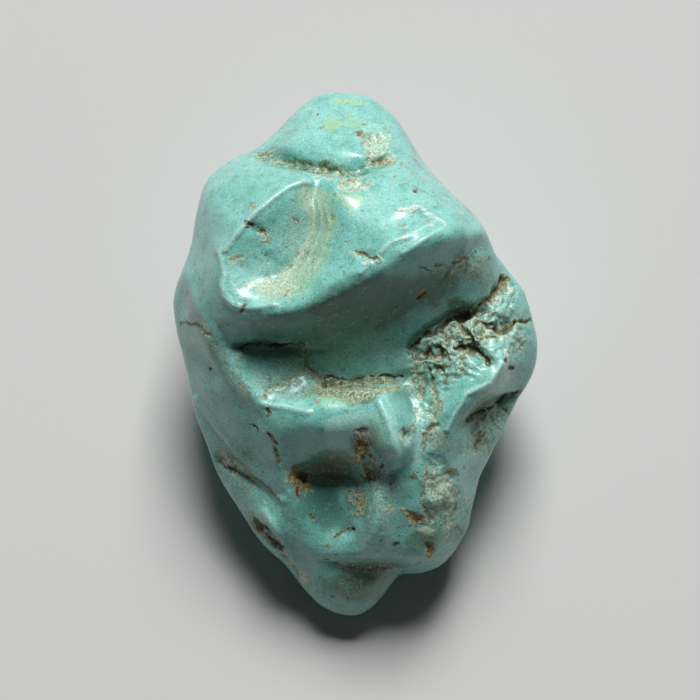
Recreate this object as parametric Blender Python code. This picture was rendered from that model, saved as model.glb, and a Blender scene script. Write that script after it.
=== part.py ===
"""A raw turquoise nugget, tumbled until its corners are round: one solid stone, lying on a small worn flat.

The stone is drawn as a lapidary would sketch it. Its face (the side that looks up) and its back are
two reliefs, and each is a set of ridges and creases with the height of every corner. The back's outline
is the face's, drawn in a little, and an upright girth joins them. Facets stretched between those lines
make the broken block, which is then worn round, cut by its grooves and pits, leaned back onto its
resting side and ground flat there.

Sizes are in millimetres up to the last step. X runs across the face, Y along its length, and Z is the
height above the middle of the back.
"""

import math

import bmesh
import bpy
import numpy as np
from mathutils import Matrix, Vector, geometry, noise

MM = 0.001

# Driving dimensions
FACE_LEAN = math.radians(10)  # how far the face tips towards -Y when the stone lies at rest
REST_FLAT_DEPTH = 0.6  # how much of the back the worn flat takes away
GRAIN = 0.2  # voxel size of the block while it is being worn
WEAR_PASSES = 14  # smoothing passes that round the ridges
SKIN = 0.3  # skin added after the wear, so that the ridges end at their drawn height
SKIN_COATS = 5  # thin coats, so that a crease isn't folded over
COAT_PASSES = 2  # smoothing passes after each coat
POLISH_PASSES = 2  # smoothing passes after the carving
PASS_STRENGTH = 0.5  # how far one smoothing pass moves a point towards its neighbours
GIRTH = 2.0  # height of the upright band between the face and the back
BACK_TUCK = 0.965  # how far the back is drawn in from the outline, as a share of it
FACETS_KEPT = 9200  # triangles of the finished solid
FACE_RISE = 0.3  # upward part of the normal from which the face's cuts reach their full depth
BACK_RISE = 0.5  # upward part of the normal below which the back's cuts begin
BANK = 0.4  # share of a pit's reach that its bank takes
SAME_POINT = 1e-5  # distance under which two points are one

# The outline, clockwise from the crown: x, y, and the height at which the face meets the girth
OUTLINE = [
    (-0.9, 17.6, 6.4), (0.8, 17.2, 6.8), (2.3, 15.9, 7.2), (3.2, 14.1, 7.8), (4.3, 12.4, 9.2),
    (5.2, 11.4, 10.2), (6.5, 10.2, 11.5), (7.6, 8.9, 12.3), (8.5, 7.6, 12.2), (9.1, 6.5, 11.0),
    (10.2, 5.3, 9.8), (11.1, 4.0, 9.4), (11.5, 2.3, 9.0), (11.8, 0.7, 8.8), (11.5, -1.0, 8.4),
    (10.8, -2.5, 8.0), (10.0, -3.9, 8.0), (9.5, -5.1, 8.0), (8.9, -6.3, 7.8), (7.9, -8.3, 7.4),
    (7.5, -10.1, 7.0), (7.2, -11.7, 6.5), (6.5, -13.1, 6.2), (5.5, -14.1, 6.0), (4.2, -14.6, 6.0),
    (2.7, -14.5, 6.0), (1.9, -15.6, 5.6), (1.0, -16.8, 5.2), (-0.1, -17.6, 5.0), (-1.3, -17.4, 5.0),
    (-2.6, -16.7, 5.2), (-3.6, -15.6, 5.4), (-4.5, -14.3, 5.7), (-5.2, -13.4, 6.0), (-6.2, -12.5, 6.3),
    (-6.8, -11.8, 6.6), (-7.8, -10.2, 7.0), (-9.0, -8.3, 7.3), (-9.7, -7.0, 7.5), (-10.2, -5.5, 8.0),
    (-10.6, -4.3, 8.2), (-10.9, -2.8, 8.3), (-11.2, -1.4, 8.5), (-11.6, 0.3, 8.7), (-11.9, 2.0, 8.8),
    (-12.1, 3.6, 8.8), (-11.8, 5.1, 8.9), (-11.2, 6.4, 9.1), (-10.8, 7.6, 9.3), (-10.7, 8.9, 9.3),
    (-10.4, 10.4, 9.1), (-10.1, 11.6, 8.7), (-9.1, 12.5, 8.3), (-7.8, 13.1, 8.2), (-6.8, 13.4, 8.2),
    (-5.8, 14.3, 7.4), (-4.5, 15.7, 6.9), (-3.3, 16.9, 6.5), (-2.2, 17.5, 6.4),
]

# Ridges of the face
FACE_RIDGES = {
    "crown": [(-3.8, 14.6, 9.5), (-1.2, 15.2, 9.8), (1.1, 15.0, 9.6), (2.8, 13.8, 9.8)],
    "crown_foot": [(-4.4, 13.6, 10.8), (-1.2, 13.3, 12.0), (1.5, 13.2, 12.2), (3.4, 12.6, 11.8)],
    "table_lip": [(-5.2, 11.9, 12.4), (-2.5, 11.5, 13.6), (0.2, 11.5, 14.0), (2.8, 11.7, 13.7),
                  (4.6, 11.0, 12.8)],
    "scoop_rim": [(-3.7, 11.1, 14.4), (-5.2, 10.3, 15.0), (-6.5, 9.1, 15.4), (-7.7, 7.8, 15.3),
                  (-8.7, 6.7, 15.0), (-8.9, 5.3, 15.0), (-8.6, 4.1, 15.3), (-7.7, 3.3, 15.5)],
    "brow": [(-7.7, 3.3, 15.5), (-6.2, 2.9, 15.9), (-4.2, 3.0, 16.4), (-2.5, 3.6, 16.8),
             (-0.9, 4.5, 17.2), (0.5, 5.2, 17.5), (1.5, 5.8, 17.7), (2.8, 6.7, 17.9),
             (4.1, 7.3, 17.9), (5.5, 7.7, 17.4), (6.8, 7.9, 16.2), (8.0, 8.0, 14.2)],
    "brow_roll": [(-7.6, 2.5, 14.9), (-6.0, 2.1, 15.0), (-4.2, 2.1, 15.2), (-2.5, 2.6, 15.6),
                  (-0.9, 3.4, 16.0), (0.6, 4.1, 16.2), (2.0, 4.8, 16.4), (3.4, 5.7, 16.6),
                  (5.0, 6.4, 16.3), (6.6, 6.9, 15.2)],
    "scoop_bank": [(-1.3, 10.5, 15.1), (-0.5, 8.9, 15.8), (-0.3, 7.3, 16.3), (-0.9, 5.8, 16.6),
                   (-2.2, 4.6, 16.4)],
    "lower_brow": [(-6.3, -3.1, 12.6), (-4.8, -3.4, 12.9), (-3.2, -3.7, 13.2), (-1.2, -3.3, 13.6),
                   (0.5, -2.8, 13.8), (1.8, -2.5, 14.0)],
    "nose": [(1.8, -2.5, 14.0), (2.1, -4.6, 14.0), (2.6, -6.2, 13.6), (2.2, -7.4, 12.2),
             (1.7, -9.6, 11.3), (1.5, -11.6, 10.4), (1.8, -13.0, 9.4)],
    "heel_edge": [(-3.6, -12.4, 8.4), (-1.9, -13.3, 8.5), (-0.5, -13.1, 8.9), (1.8, -13.0, 9.4),
                  (3.4, -13.2, 9.0), (4.7, -12.8, 8.7)],
    "left_keel": [(-11.2, 5.3, 10.4), (-10.4, 2.8, 12.6), (-9.5, 0.7, 13.0), (-8.1, -1.7, 12.9),
                  (-7.2, -3.3, 12.5), (-6.2, -5.0, 11.9), (-5.2, -6.6, 11.2), (-4.7, -8.3, 10.5),
                  (-4.2, -10.3, 9.7), (-3.6, -12.4, 8.4)],
    "knuckle": [(9.4, -0.5, 12.6), (7.9, -1.9, 13.1), (6.6, -3.5, 13.0), (5.9, -5.0, 12.5),
                (5.5, -7.0, 11.5), (5.6, -9.4, 10.6), (5.2, -11.4, 9.8), (4.7, -12.8, 8.7)],
    "toe": [(-2.6, -15.1, 7.0), (-1.0, -15.6, 7.1), (0.6, -15.2, 7.0)],
}

# Creases of the face
FACE_CREASES = {
    "crown_groove": [(-6.5, 13.2, 8.6), (-5.2, 12.7, 10.2), (-3.8, 12.4, 11.0), (-2.5, 12.1, 11.6),
                     (-0.9, 11.9, 12.2), (0.6, 12.2, 12.4), (2.2, 12.4, 12.2)],
    "scoop_floor": [(-3.9, 10.3, 14.3), (-3.0, 9.2, 14.2), (-2.9, 7.8, 14.2), (-3.5, 6.2, 14.3),
                    (-4.8, 5.2, 14.3), (-6.4, 4.9, 14.4)],
    "cliff_foot_left": [(-7.9, 0.6, 12.3), (-6.4, 0.8, 12.3), (-4.8, 0.7, 12.2), (-3.6, 0.3, 12.0),
                        (-2.9, -0.9, 11.5), (-1.2, -1.5, 11.2), (0.8, -1.6, 11.1),
                        (2.6, -1.6, 11.3)],
    "cliff_foot_right": [(2.6, -1.6, 11.3), (3.3, -0.5, 11.7), (4.0, 0.6, 11.9), (5.1, 1.6, 12.1),
                         (6.2, 2.6, 12.1), (7.7, 3.0, 11.9), (8.7, 3.8, 11.4), (9.3, 5.0, 10.6)],
    "under_nose": [(-3.9, -8.0, 9.9), (-3.2, -7.9, 9.4), (-1.9, -7.8, 9.1), (-0.2, -7.9, 9.2),
                   (0.5, -8.7, 9.5), (0.6, -9.8, 9.6)],
    "flank_step": [(-9.0, -7.0, 7.6), (-8.0, -7.6, 8.1), (-6.6, -8.4, 8.6), (-5.4, -9.3, 8.9)],
    "toe_crease": [(-2.2, -14.1, 7.7), (-0.9, -13.9, 7.7), (0.8, -13.8, 7.6), (2.1, -13.9, 7.1)],
    "knuckle_groove": [(7.7, -4.2, 9.9), (9.1, -3.2, 9.0), (10.3, -2.7, 7.8)],
}

# Single corners of the face, between those lines
FACE_CORNERS = [
    # left shoulder
    (-9.5, 10.3, 11.6), (-7.5, 11.4, 12.4), (-9.6, 7.6, 12.6), (-10.2, 5.4, 12.2), (-9.7, 3.8, 13.6),
    (-7.2, 10.2, 13.7), (-9.0, 1.9, 13.6),
    # scoop
    (-7.3, 5.8, 14.6), (-5.6, 7.6, 14.5),
    # table
    (0.8, 10.4, 15.0), (3.2, 10.2, 15.0), (5.6, 9.6, 14.6), (1.4, 8.4, 16.5), (3.6, 8.6, 16.8),
    (5.9, 8.8, 15.8), (0.8, 6.7, 17.0),
    # cliff
    (-1.6, 1.2, 13.0), (1.0, 2.0, 13.3), (3.4, 3.8, 14.4), (5.6, 5.2, 14.7), (7.8, 5.8, 13.6),
    (1.6, 0.2, 11.8), (-0.8, -0.2, 11.7), (5.2, 3.4, 13.2),
    # shelf
    (-7.2, -0.8, 12.0), (-5.2, -1.2, 12.0), (-3.4, -2.1, 12.2), (-0.4, -2.3, 12.3),
    # brow of the lower block, down to the hollow under it
    (-3.8, -5.4, 12.2), (-1.2, -5.4, 12.8), (0.6, -5.0, 13.2), (-3.2, -6.8, 11.4), (-1.0, -6.8, 11.5),
    (0.6, -7.0, 11.7),
    # hollow under the nose
    (-1.9, -9.6, 9.2), (-0.5, -10.9, 9.2), (-2.5, -11.6, 8.8), (0.3, -12.2, 9.3),
    # trough between the nose and the heel
    (3.7, -4.4, 12.3), (3.7, -6.4, 11.8), (3.6, -8.6, 10.9), (3.5, -11.0, 10.0),
    # rubble
    (4.8, 0.2, 12.2), (6.8, 1.0, 12.6), (8.1, 1.7, 12.4), (6.1, -0.7, 12.3), (4.8, -2.0, 12.0),
    (9.8, 3.4, 11.4), (10.4, 1.6, 11.0),
    # right flank
    (10.2, -0.7, 10.4), (9.2, -2.0, 10.7), (7.9, -3.4, 10.8), (7.9, -5.6, 9.7), (6.8, -7.8, 9.6),
    (6.4, -10.0, 8.8), (5.8, -12.2, 7.2),
    # left flank
    (-11.1, 3.0, 10.4), (-10.0, -0.3, 10.8), (-9.0, -3.4, 10.2), (-7.9, -6.0, 9.6), (-7.2, -9.2, 8.2),
    (-5.2, -11.2, 8.4),
]

# Ridges and corners of the back
BACK_RIDGES = {
    "spine": [(-1.4, 11.2, 1.2), (0.4, 8.6, -0.2), (1.6, 4.6, -0.7), (1.4, -0.8, -0.2), (0.4, -5.2, 0.5),
              (-0.8, -10.4, 1.9), (-0.6, -13.8, 2.8)],
    "left_heel": [(-5.2, 8.4, 0.8), (-6.0, 3.0, 0.2), (-5.6, -2.6, 0.5), (-4.6, -7.2, 1.6)],
    "right_heel": [(4.6, 8.2, 1.4), (6.0, 3.2, 0.4), (5.8, -2.2, 0.6), (4.4, -8.0, 2.0)],
    "left_wall": [(-9.4, 8.4, 4.4), (-9.2, 3.4, 2.4), (-9.4, -2.0, 4.2), (-7.0, -6.6, 3.0)],
    "right_wall": [(4.0, 11.2, 5.2), (7.2, 6.4, 5.4), (9.6, 1.6, 3.8), (8.6, -3.6, 4.4), (6.6, -8.4, 3.0)],
}
BACK_CORNERS = [
    (-3.6, 14.0, 3.2), (0.2, 14.8, 3.6), (2.2, 12.6, 3.2), (4.2, -11.6, 3.6), (-2.8, -13.2, 2.9),
    (-5.6, -10.0, 3.8), (-6.4, 11.2, 4.4), (-2.4, 2.0, -0.2), (-2.2, -6.0, 0.3),
]

# Grooves worn into the face: half width, depth, and the line that each follows
GROOVES = {
    "crown_groove": (0.5, 0.42, [(-6.6, 13.2), (-5.2, 12.8), (-3.8, 12.5), (-2.5, 12.3), (-1.8, 12.0),
                                 (-0.4, 12.1), (0.6, 12.3)]),
    "shelf_crease": (0.45, 0.3, [(-8.2, 0.4), (-6.4, 0.7), (-5.0, 0.5), (-3.4, 0.6)]),
    "shelf_step": (0.4, 0.2, [(-3.4, 0.6), (-3.5, -0.4), (-2.9, -1.3), (-1.9, -1.5)]),
    "ledge_crease": (0.45, 0.35, [(-2.4, -1.5), (-1.0, -1.7), (1.0, -1.6), (3.1, -1.4)]),
    "cleft": (0.5, 0.55, [(3.6, 0.6), (4.2, 1.3), (4.9, 1.7), (5.8, 2.4), (6.9, 2.7), (8.0, 2.8)]),
    "cleft_end": (0.45, 0.25, [(8.0, 2.8), (8.9, 3.5), (9.6, 4.6)]),
    "rubble_gap_low": (0.4, 0.5, [(3.4, 0.3), (4.3, -0.1), (5.4, 0.0)]),
    "rubble_gap_mid": (0.4, 0.55, [(5.9, 0.9), (6.5, 0.4), (7.4, 0.2), (8.2, 0.0), (8.6, -0.6)]),
    "rubble_gap_high": (0.4, 0.55, [(7.6, 2.3), (8.2, 1.9), (9.2, 1.7), (10.2, 2.0)]),
    "trough_vein": (0.5, 0.2, [(4.3, -1.3), (4.9, -2.6), (4.9, -4.4), (4.5, -6.2), (4.6, -8.0)]),
    "heel_vein": (0.5, 0.3, [(4.6, -8.0), (4.3, -9.4), (4.7, -11.0)]),
    "knuckle_groove": (0.42, 0.35, [(7.3, -4.4), (8.2, -3.7), (9.4, -3.1), (10.2, -2.8)]),
    "flank_step": (0.45, 0.22, [(-9.2, -6.9), (-8.0, -7.6), (-6.6, -8.4), (-5.2, -9.4)]),
    "toe_line": (0.4, 0.18, [(-2.4, -14.0), (-0.8, -13.8), (1.0, -13.8), (2.6, -14.0)]),
}

# Pits and chips: x, y, half length, half width, turn in degrees, depth
PITS = {
    "nose_pit": (0.2, -5.8, 1.05, 0.6, 82, 0.2),
    "nose_pit_tail": (0.9, -7.6, 0.8, 0.3, 115, 0.12),
    "pale_pit": (3.0, -5.2, 0.6, 0.4, 100, 0.35),
    "rust_pit": (-3.8, -8.0, 0.75, 0.5, -30, 0.2),
    "heel_pit": (4.6, -12.6, 0.6, 0.4, 100, 0.28),
    "heel_hollow": (4.0, -10.9, 0.6, 0.45, 150, 0.3),
    "toe_pit": (-0.6, -11.6, 0.6, 0.25, 25, 0.3),
    "crown_pocket": (0.9, 14.1, 1.3, 0.8, 60, 0.3),
    "crown_pocket_foot": (1.4, 12.8, 1.0, 0.45, 10, 0.3),
    "table_pocket": (-0.2, 11.1, 1.0, 0.42, 20, 0.4),
    "scoop_pit": (-6.7, 8.2, 0.8, 0.4, -35, 0.3),
    "brow_pit": (-7.4, 3.0, 0.45, 0.25, 90, 0.25),
    "table_chip": (3.9, 8.7, 2.5, 0.95, 12, 0.3),
    "low_chip": (0.7, 6.4, 1.1, 0.45, -20, 0.25),
    "flank_pit": (-8.8, -7.4, 0.8, 0.45, -30, 0.2),
    "edge_pit": (-6.0, -11.6, 1.2, 0.5, -48, 0.3),
    "knuckle_pit": (7.9, -5.9, 0.8, 0.5, 70, 0.18),
}

# Soft swellings and hollows left by the tumbling: x, y, half length, half width, turn in degrees, height
SWELLINGS = {
    "lower_brow": (-2.2, -4.4, 5.6, 1.9, 3, 0.5),
    "shelf_top": (-4.6, 0.0, 2.8, 1.3, -8, 0.3),
    "shelf_foot": (-4.8, -2.2, 2.6, 1.2, -6, -0.25),
    "under_brow": (-2.6, -7.6, 3.6, 1.9, 0, -0.4),
    "nose": (2.0, -4.6, 3.0, 2.0, 104, 0.5),
    "nose_tip": (2.2, -5.9, 1.5, 1.3, 104, 0.4),
    "nose_foot": (1.2, -8.0, 1.6, 1.2, 0, -0.3),
    "middle_ridge": (1.2, -10.9, 3.2, 1.9, 92, 0.55),
    "hollow": (-2.4, -9.9, 3.4, 2.4, -62, -0.55),
    "hollow_bank": (-5.6, -11.8, 3.8, 1.6, -62, 0.5),
    "trough_head": (4.0, -2.6, 2.2, 1.6, 90, -0.3),
    "trough_foot": (4.3, -9.2, 3.6, 1.8, 90, 0.55),
    "heel": (5.2, -12.6, 2.0, 1.6, 60, 0.4),
    "toe_slope": (-0.4, -14.7, 2.8, 1.3, 0, -0.3),
    "keel_valley": (-7.2, -3.4, 4.0, 1.0, -62, -0.35),
    "flank_ridge": (-9.2, -3.4, 4.6, 1.2, -60, 0.25),
    "right_groove": (8.6, -3.9, 2.6, 1.2, 38, -0.25),
    "knuckle_band": (9.0, -1.5, 2.8, 1.2, 45, 0.25),
    "table_top": (0.4, 12.3, 2.6, 0.8, 12, -0.2),
}

# Crumbled matrix: x, y, half length, half width, turn in degrees, and how far its lumps stand out
CRUMBLES = {
    "rubble": (6.9, 1.0, 4.4, 2.4, 38, 0.55),
    "crown_crumble": (1.2, 13.7, 1.9, 1.2, 60, 0.22),
    "heel_crumble": (5.4, -9.0, 3.4, 1.3, 96, 0.3),
    "flank_crumble": (8.8, -4.6, 2.2, 1.3, 52, 0.3),
    "edge_crumble": (-5.8, -12.0, 1.9, 0.9, -48, 0.3),
}
CRUMB = 0.85  # size of one lump

# Scallops and pits of the girth and the back: x, y, z, radius, depth
SCALLOPS = {
    "under_crown": (2.4, 14.6, 3.0, 4.6, 0.9),
    "under_shoulder": (-9.8, 9.6, 5.6, 4.4, 0.8),
    "shoulder_wall": (8.6, 7.4, 6.4, 4.6, 1.0),
    "right_wall_low": (10.2, -1.2, 4.6, 4.2, 0.8),
    "left_wall_low": (-10.4, 0.2, 4.4, 5.0, 0.9),
    "left_heel_chip": (-7.6, -7.6, 3.2, 3.6, 0.7),
    "heel_chip": (6.6, -10.6, 3.6, 3.2, 0.6),
    "toe_chip": (1.8, -14.2, 3.0, 2.4, 0.5),
    "back_dish": (-2.6, 9.8, 0.6, 4.0, 0.6),
    "back_pit": (-8.2, 4.6, 2.4, 1.4, 0.6),
    "crown_back_pit": (-1.8, 15.0, 3.4, 1.3, 0.5),
    "wall_pit": (9.4, 3.4, 4.8, 1.2, 0.5),
}
UNDULATION = 0.5  # how far the slow swell of the girth and the back rises and falls
SWELL = 4.2  # length of that swell

# Nothing is cut along a true line or oval: a fine wander bends the face's cuts, a slow one the scallops
FINE_WANDER = (0.22, 1.3)  # how far, and over what length
SLOW_WANDER = (1.1, 3.4)
NOISE_SEED = 8  # sets which way the wandering goes, so that every build is the same


def clear_scene():
    for obj in list(bpy.data.objects):
        bpy.data.objects.remove(obj)


def relief(rim, lines, corners):
    """Facets stretched between a rim, the lines and the corners inside it, as points and triangles."""
    numbers = {}
    points, edges = [], []

    def number_of(point):
        place = point[:2]
        if place not in numbers:
            numbers[place] = len(points)
            points.append(point)
        return numbers[place]

    closed_rim = [number_of(point) for point in rim + rim[:1]]
    edges += zip(closed_rim, closed_rim[1:])
    for line in lines.values():
        run = [number_of(point) for point in line]
        edges += zip(run, run[1:])
    for corner in corners:
        number_of(corner)
    flat = [Vector(point[:2]) for point in points]
    inside_rim = 1
    _, _, facets, sources, _, _ = geometry.delaunay_2d_cdt(flat, edges, [], inside_rim, SAME_POINT)
    return points, [[sources[i][0] for i in facet] for facet in facets]


def broken_block():
    """The closed block: the face relief, the back relief, and the girth between their rims."""
    bm = bmesh.new()
    tucked = [(x * BACK_TUCK, y * BACK_TUCK, z - GIRTH) for x, y, z in OUTLINE]
    face = relief(OUTLINE, {**FACE_RIDGES, **FACE_CREASES}, FACE_CORNERS)
    back = relief(tucked, BACK_RIDGES, BACK_CORNERS)
    rims = []
    for points, facets in (face, back):
        verts = [bm.verts.new(point) for point in points]
        for facet in facets:
            bm.faces.new([verts[i] for i in facet])
        rims.append(verts[:len(OUTLINE)])
    upper, lower = rims
    for i in range(len(OUTLINE)):
        bm.faces.new((upper[i - 1], upper[i], lower[i], lower[i - 1]))
    bmesh.ops.recalc_face_normals(bm, faces=bm.faces)
    mesh = bpy.data.meshes.new("nugget")
    bm.to_mesh(mesh)
    bm.free()
    return mesh


def apply_modifiers(obj):
    graph = bpy.context.evaluated_depsgraph_get()
    worked = bpy.data.meshes.new_from_object(obj.evaluated_get(graph))
    obj.modifiers.clear()
    obj.data = worked


def add_smooth(obj, passes):
    smooth = obj.modifiers.new("smooth", "SMOOTH")
    smooth.factor = PASS_STRENGTH
    smooth.iterations = passes


def wear(obj):
    """Rounds every ridge, then puts back the thickness that the rounding took."""
    remesh = obj.modifiers.new("grain", "REMESH")
    remesh.mode = "VOXEL"
    remesh.voxel_size = GRAIN
    add_smooth(obj, WEAR_PASSES)
    for _ in range(SKIN_COATS):
        coat = obj.modifiers.new("coat", "DISPLACE")
        coat.strength = SKIN / SKIN_COATS
        coat.mid_level = 0
        add_smooth(obj, COAT_PASSES)
    apply_modifiers(obj)


def read(values, attribute):
    """A vector attribute as an array with one row for each vertex."""
    flat = np.empty(len(values) * 3, np.float32)
    values.foreach_get(attribute, flat)
    return flat.reshape(-1, 3).astype(float)


def distance_to_line(points, line):
    """Distance of every point to a run of straight segments."""
    nearest = np.full(len(points), np.inf)
    corners = np.array(line, float)
    for start, end in zip(corners, corners[1:]):
        along = end - start
        share = np.clip((points - start) @ along / (along @ along), 0, 1)
        gap = np.linalg.norm(points - start - share[:, None] * along, axis=1)
        nearest = np.minimum(nearest, gap)
    return nearest


def reach_in_oval(points, x, y, half_length, half_width, turn):
    """0 at the middle of a turned oval and 1 on its edge."""
    offset = points - (x, y)
    cos, sin = math.cos(math.radians(turn)), math.sin(math.radians(turn))
    along = offset @ (cos, sin)
    across = offset @ (-sin, cos)
    return np.hypot(along / half_length, across / half_width)


def hollow(reach):
    """A round-bottomed profile: 1 at the middle and 0 from the edge on."""
    return 0.5 + 0.5 * np.cos(math.pi * np.clip(reach, 0, 1))


def basin(reach):
    """A flat-bottomed profile with a short bank, 0 from the edge on."""
    bank = np.clip((1 - reach) / BANK, 0, 1)
    return bank * bank * (3 - 2 * bank)


def wander(places, drift):
    """The places moved about by a smooth noise."""
    amount, length = drift
    return places + amount * np.array([noise.noise_vector(place) for place in (places / length).tolist()])


def face_swell(places):
    """How far the soft swellings stand out, or the hollows sink, at each place of the face."""
    swell = np.zeros(len(places))
    for x, y, half_length, half_width, turn, height in SWELLINGS.values():
        swell += height * hollow(reach_in_oval(places[:, :2], x, y, half_length, half_width, turn))
    return swell


def face_cuts(places):
    """How deep the grooves, the pits and the crumbled matrix go at each place of the face."""
    flat = wander(places, FINE_WANDER)[:, :2]
    cut = np.zeros(len(places))
    for half_width, depth, line in GROOVES.values():
        cut = np.maximum(cut, depth * hollow(distance_to_line(flat, line) / half_width))
    for x, y, half_length, half_width, turn, depth in PITS.values():
        reach = reach_in_oval(flat, x, y, half_length, half_width, turn)
        cut = np.maximum(cut, depth * basin(reach))
    for x, y, half_length, half_width, turn, height in CRUMBLES.values():
        spread = hollow(reach_in_oval(flat, x, y, half_length, half_width, turn) ** 2)
        for i in np.flatnonzero(spread):
            cut[i] += height * spread[i] * noise.noise(Vector(places[i]) / CRUMB, noise_basis="VORONOI_F1")
    return cut


def back_cuts(places):
    """How deep the scallops and the slow swell go at each place of the girth and the back."""
    loose = wander(places, SLOW_WANDER)
    cut = np.zeros(len(places))
    for x, y, z, radius, depth in SCALLOPS.values():
        cut += depth * hollow(np.linalg.norm(loose - (x, y, z), axis=1) / radius)
    return cut + UNDULATION * np.array([noise.noise(place) for place in (places / SWELL).tolist()])


def carve(obj):
    """Cuts the face where it looks up and the back where it doesn't."""
    places = read(obj.data.vertices, "co")
    normals = read(obj.data.vertex_normals, "vector")
    rise = normals[:, 2]
    cut = (face_cuts(places) - face_swell(places)) * np.clip(rise / FACE_RISE, 0, 1)
    cut += back_cuts(places) * np.clip(BACK_RISE - rise, 0, 1)
    places -= normals * cut[:, None]
    obj.data.vertices.foreach_set("co", places.astype(np.float32).ravel())
    obj.data.update()


def facet(obj):
    """Polishes the carved stone and keeps only the facets that its shape needs."""
    add_smooth(obj, POLISH_PASSES)
    coarse = obj.modifiers.new("facets", "DECIMATE")
    coarse.ratio = FACETS_KEPT / (2 * len(obj.data.polygons))
    apply_modifiers(obj)


def lean_and_grind(obj):
    """Tips the stone onto its back and grinds the flat that it rests on."""
    bm = bmesh.new()
    bm.from_mesh(obj.data)
    bmesh.ops.rotate(bm, verts=bm.verts, cent=(0, 0, 0), matrix=Matrix.Rotation(FACE_LEAN, 3, "X"))
    floor = min(v.co.z for v in bm.verts) + REST_FLAT_DEPTH
    cut = bmesh.ops.bisect_plane(
        bm, geom=bm.verts[:] + bm.edges[:] + bm.faces[:], dist=SAME_POINT,
        plane_co=(0, 0, floor), plane_no=(0, 0, -1), clear_outer=True,
    )
    rim = [e for e in cut["geom_cut"] if isinstance(e, bmesh.types.BMEdge)]
    bmesh.ops.contextual_create(bm, geom=rim)
    bmesh.ops.recalc_face_normals(bm, faces=bm.faces)
    xs = [v.co.x for v in bm.verts]
    ys = [v.co.y for v in bm.verts]
    foot = Vector(((min(xs) + max(xs)) / 2, (min(ys) + max(ys)) / 2, floor))
    bmesh.ops.translate(bm, verts=bm.verts, vec=-foot)
    bmesh.ops.scale(bm, verts=bm.verts, vec=(MM, MM, MM))
    bm.to_mesh(obj.data)
    bm.free()


def turquoise():
    """Tumbled turquoise: an opaque green-blue with a waxy polish."""
    material = bpy.data.materials.new("turquoise")
    material.use_nodes = True
    shader = material.node_tree.nodes["Principled BSDF"]
    shader.inputs["Base Color"].default_value = (0.23, 0.56, 0.52, 1)
    shader.inputs["Roughness"].default_value = 0.32
    shader.inputs["Metallic"].default_value = 0.0
    return material


def main():
    clear_scene()
    noise.seed_set(NOISE_SEED)
    nugget = bpy.data.objects.new("nugget", broken_block())
    bpy.context.scene.collection.objects.link(nugget)
    wear(nugget)
    carve(nugget)
    facet(nugget)
    lean_and_grind(nugget)
    nugget.data.materials.append(turquoise())
    nugget.data.shade_smooth()


main()
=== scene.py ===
"""Raw turquoise nugget: the fine surface and finish of the tumbled stone, and the stage it is seen on.

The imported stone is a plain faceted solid. Here it is cut finer, its grooves and pits are torn open to the
ragged edges of a soft matrix, and its tints are laid on as masks that the material reads. Marks are placed
in millimetres in the face's own frame: X to the right, Y towards the crown, Z out of the face.
"""

import math

import bpy
import numpy as np
from bpy.props import FloatProperty, FloatVectorProperty, IntProperty, PointerProperty
from mathutils import Matrix, Vector, noise


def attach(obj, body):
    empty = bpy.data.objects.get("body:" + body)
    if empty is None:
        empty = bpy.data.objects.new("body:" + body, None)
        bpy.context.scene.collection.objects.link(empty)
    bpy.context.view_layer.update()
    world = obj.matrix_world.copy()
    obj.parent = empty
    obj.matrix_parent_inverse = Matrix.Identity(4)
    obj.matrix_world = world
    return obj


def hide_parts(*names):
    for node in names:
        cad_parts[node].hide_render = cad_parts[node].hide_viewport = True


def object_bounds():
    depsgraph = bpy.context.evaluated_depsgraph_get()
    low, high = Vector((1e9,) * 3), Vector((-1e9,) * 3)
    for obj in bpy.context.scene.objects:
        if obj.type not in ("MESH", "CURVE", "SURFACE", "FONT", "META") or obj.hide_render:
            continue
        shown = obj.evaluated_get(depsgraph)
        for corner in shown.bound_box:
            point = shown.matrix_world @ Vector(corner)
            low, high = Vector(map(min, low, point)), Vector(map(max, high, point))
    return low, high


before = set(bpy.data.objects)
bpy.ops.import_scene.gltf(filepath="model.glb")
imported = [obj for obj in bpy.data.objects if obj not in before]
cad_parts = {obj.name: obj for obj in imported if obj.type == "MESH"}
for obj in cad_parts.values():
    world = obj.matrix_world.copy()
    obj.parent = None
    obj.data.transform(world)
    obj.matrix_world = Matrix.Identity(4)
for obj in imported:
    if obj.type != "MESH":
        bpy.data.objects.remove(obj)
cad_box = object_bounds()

bl_info = {
    "name": "Turquoise Nugget",
    "version": (1, 0, 0),
    "blender": (4, 5, 0),
    "location": "3D View > Sidebar > Nugget",
    "description": "Cuts and finishes a tumbled turquoise nugget and sets its stage",
    "category": "Object",
}

MM = 0.001
FACE_LEAN = math.radians(10)  # how far the face tips towards -Y when the stone lies at rest
FOOT = Vector((-0.174, -0.995, -0.087))  # the middle of the resting side, in the face's frame, in mm
CAMERA_LIFT = math.radians(80)  # how far above the horizon the camera stands
CAMERA_REACH = 260.0  # mm from the camera to the face
CAMERA_AIM = Vector((-0.53, 0.33, 10.0))  # the middle of the picture, in the face's frame
VIEW_WIDTH = 46.36  # mm of the face that the picture takes in
KEY_PLACE = Vector((0.1, 1.09, 1.3))  # metres; the soft light stands beyond the crown
SAME_CORNER = 0.001  # mm between two corners that are one
FACE_RISE = 0.3  # upward part of the normal from which the face's marks have their full strength

NOISE_SEED = 8  # sets which way the wandering of the marks goes, so that every run is the same
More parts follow.
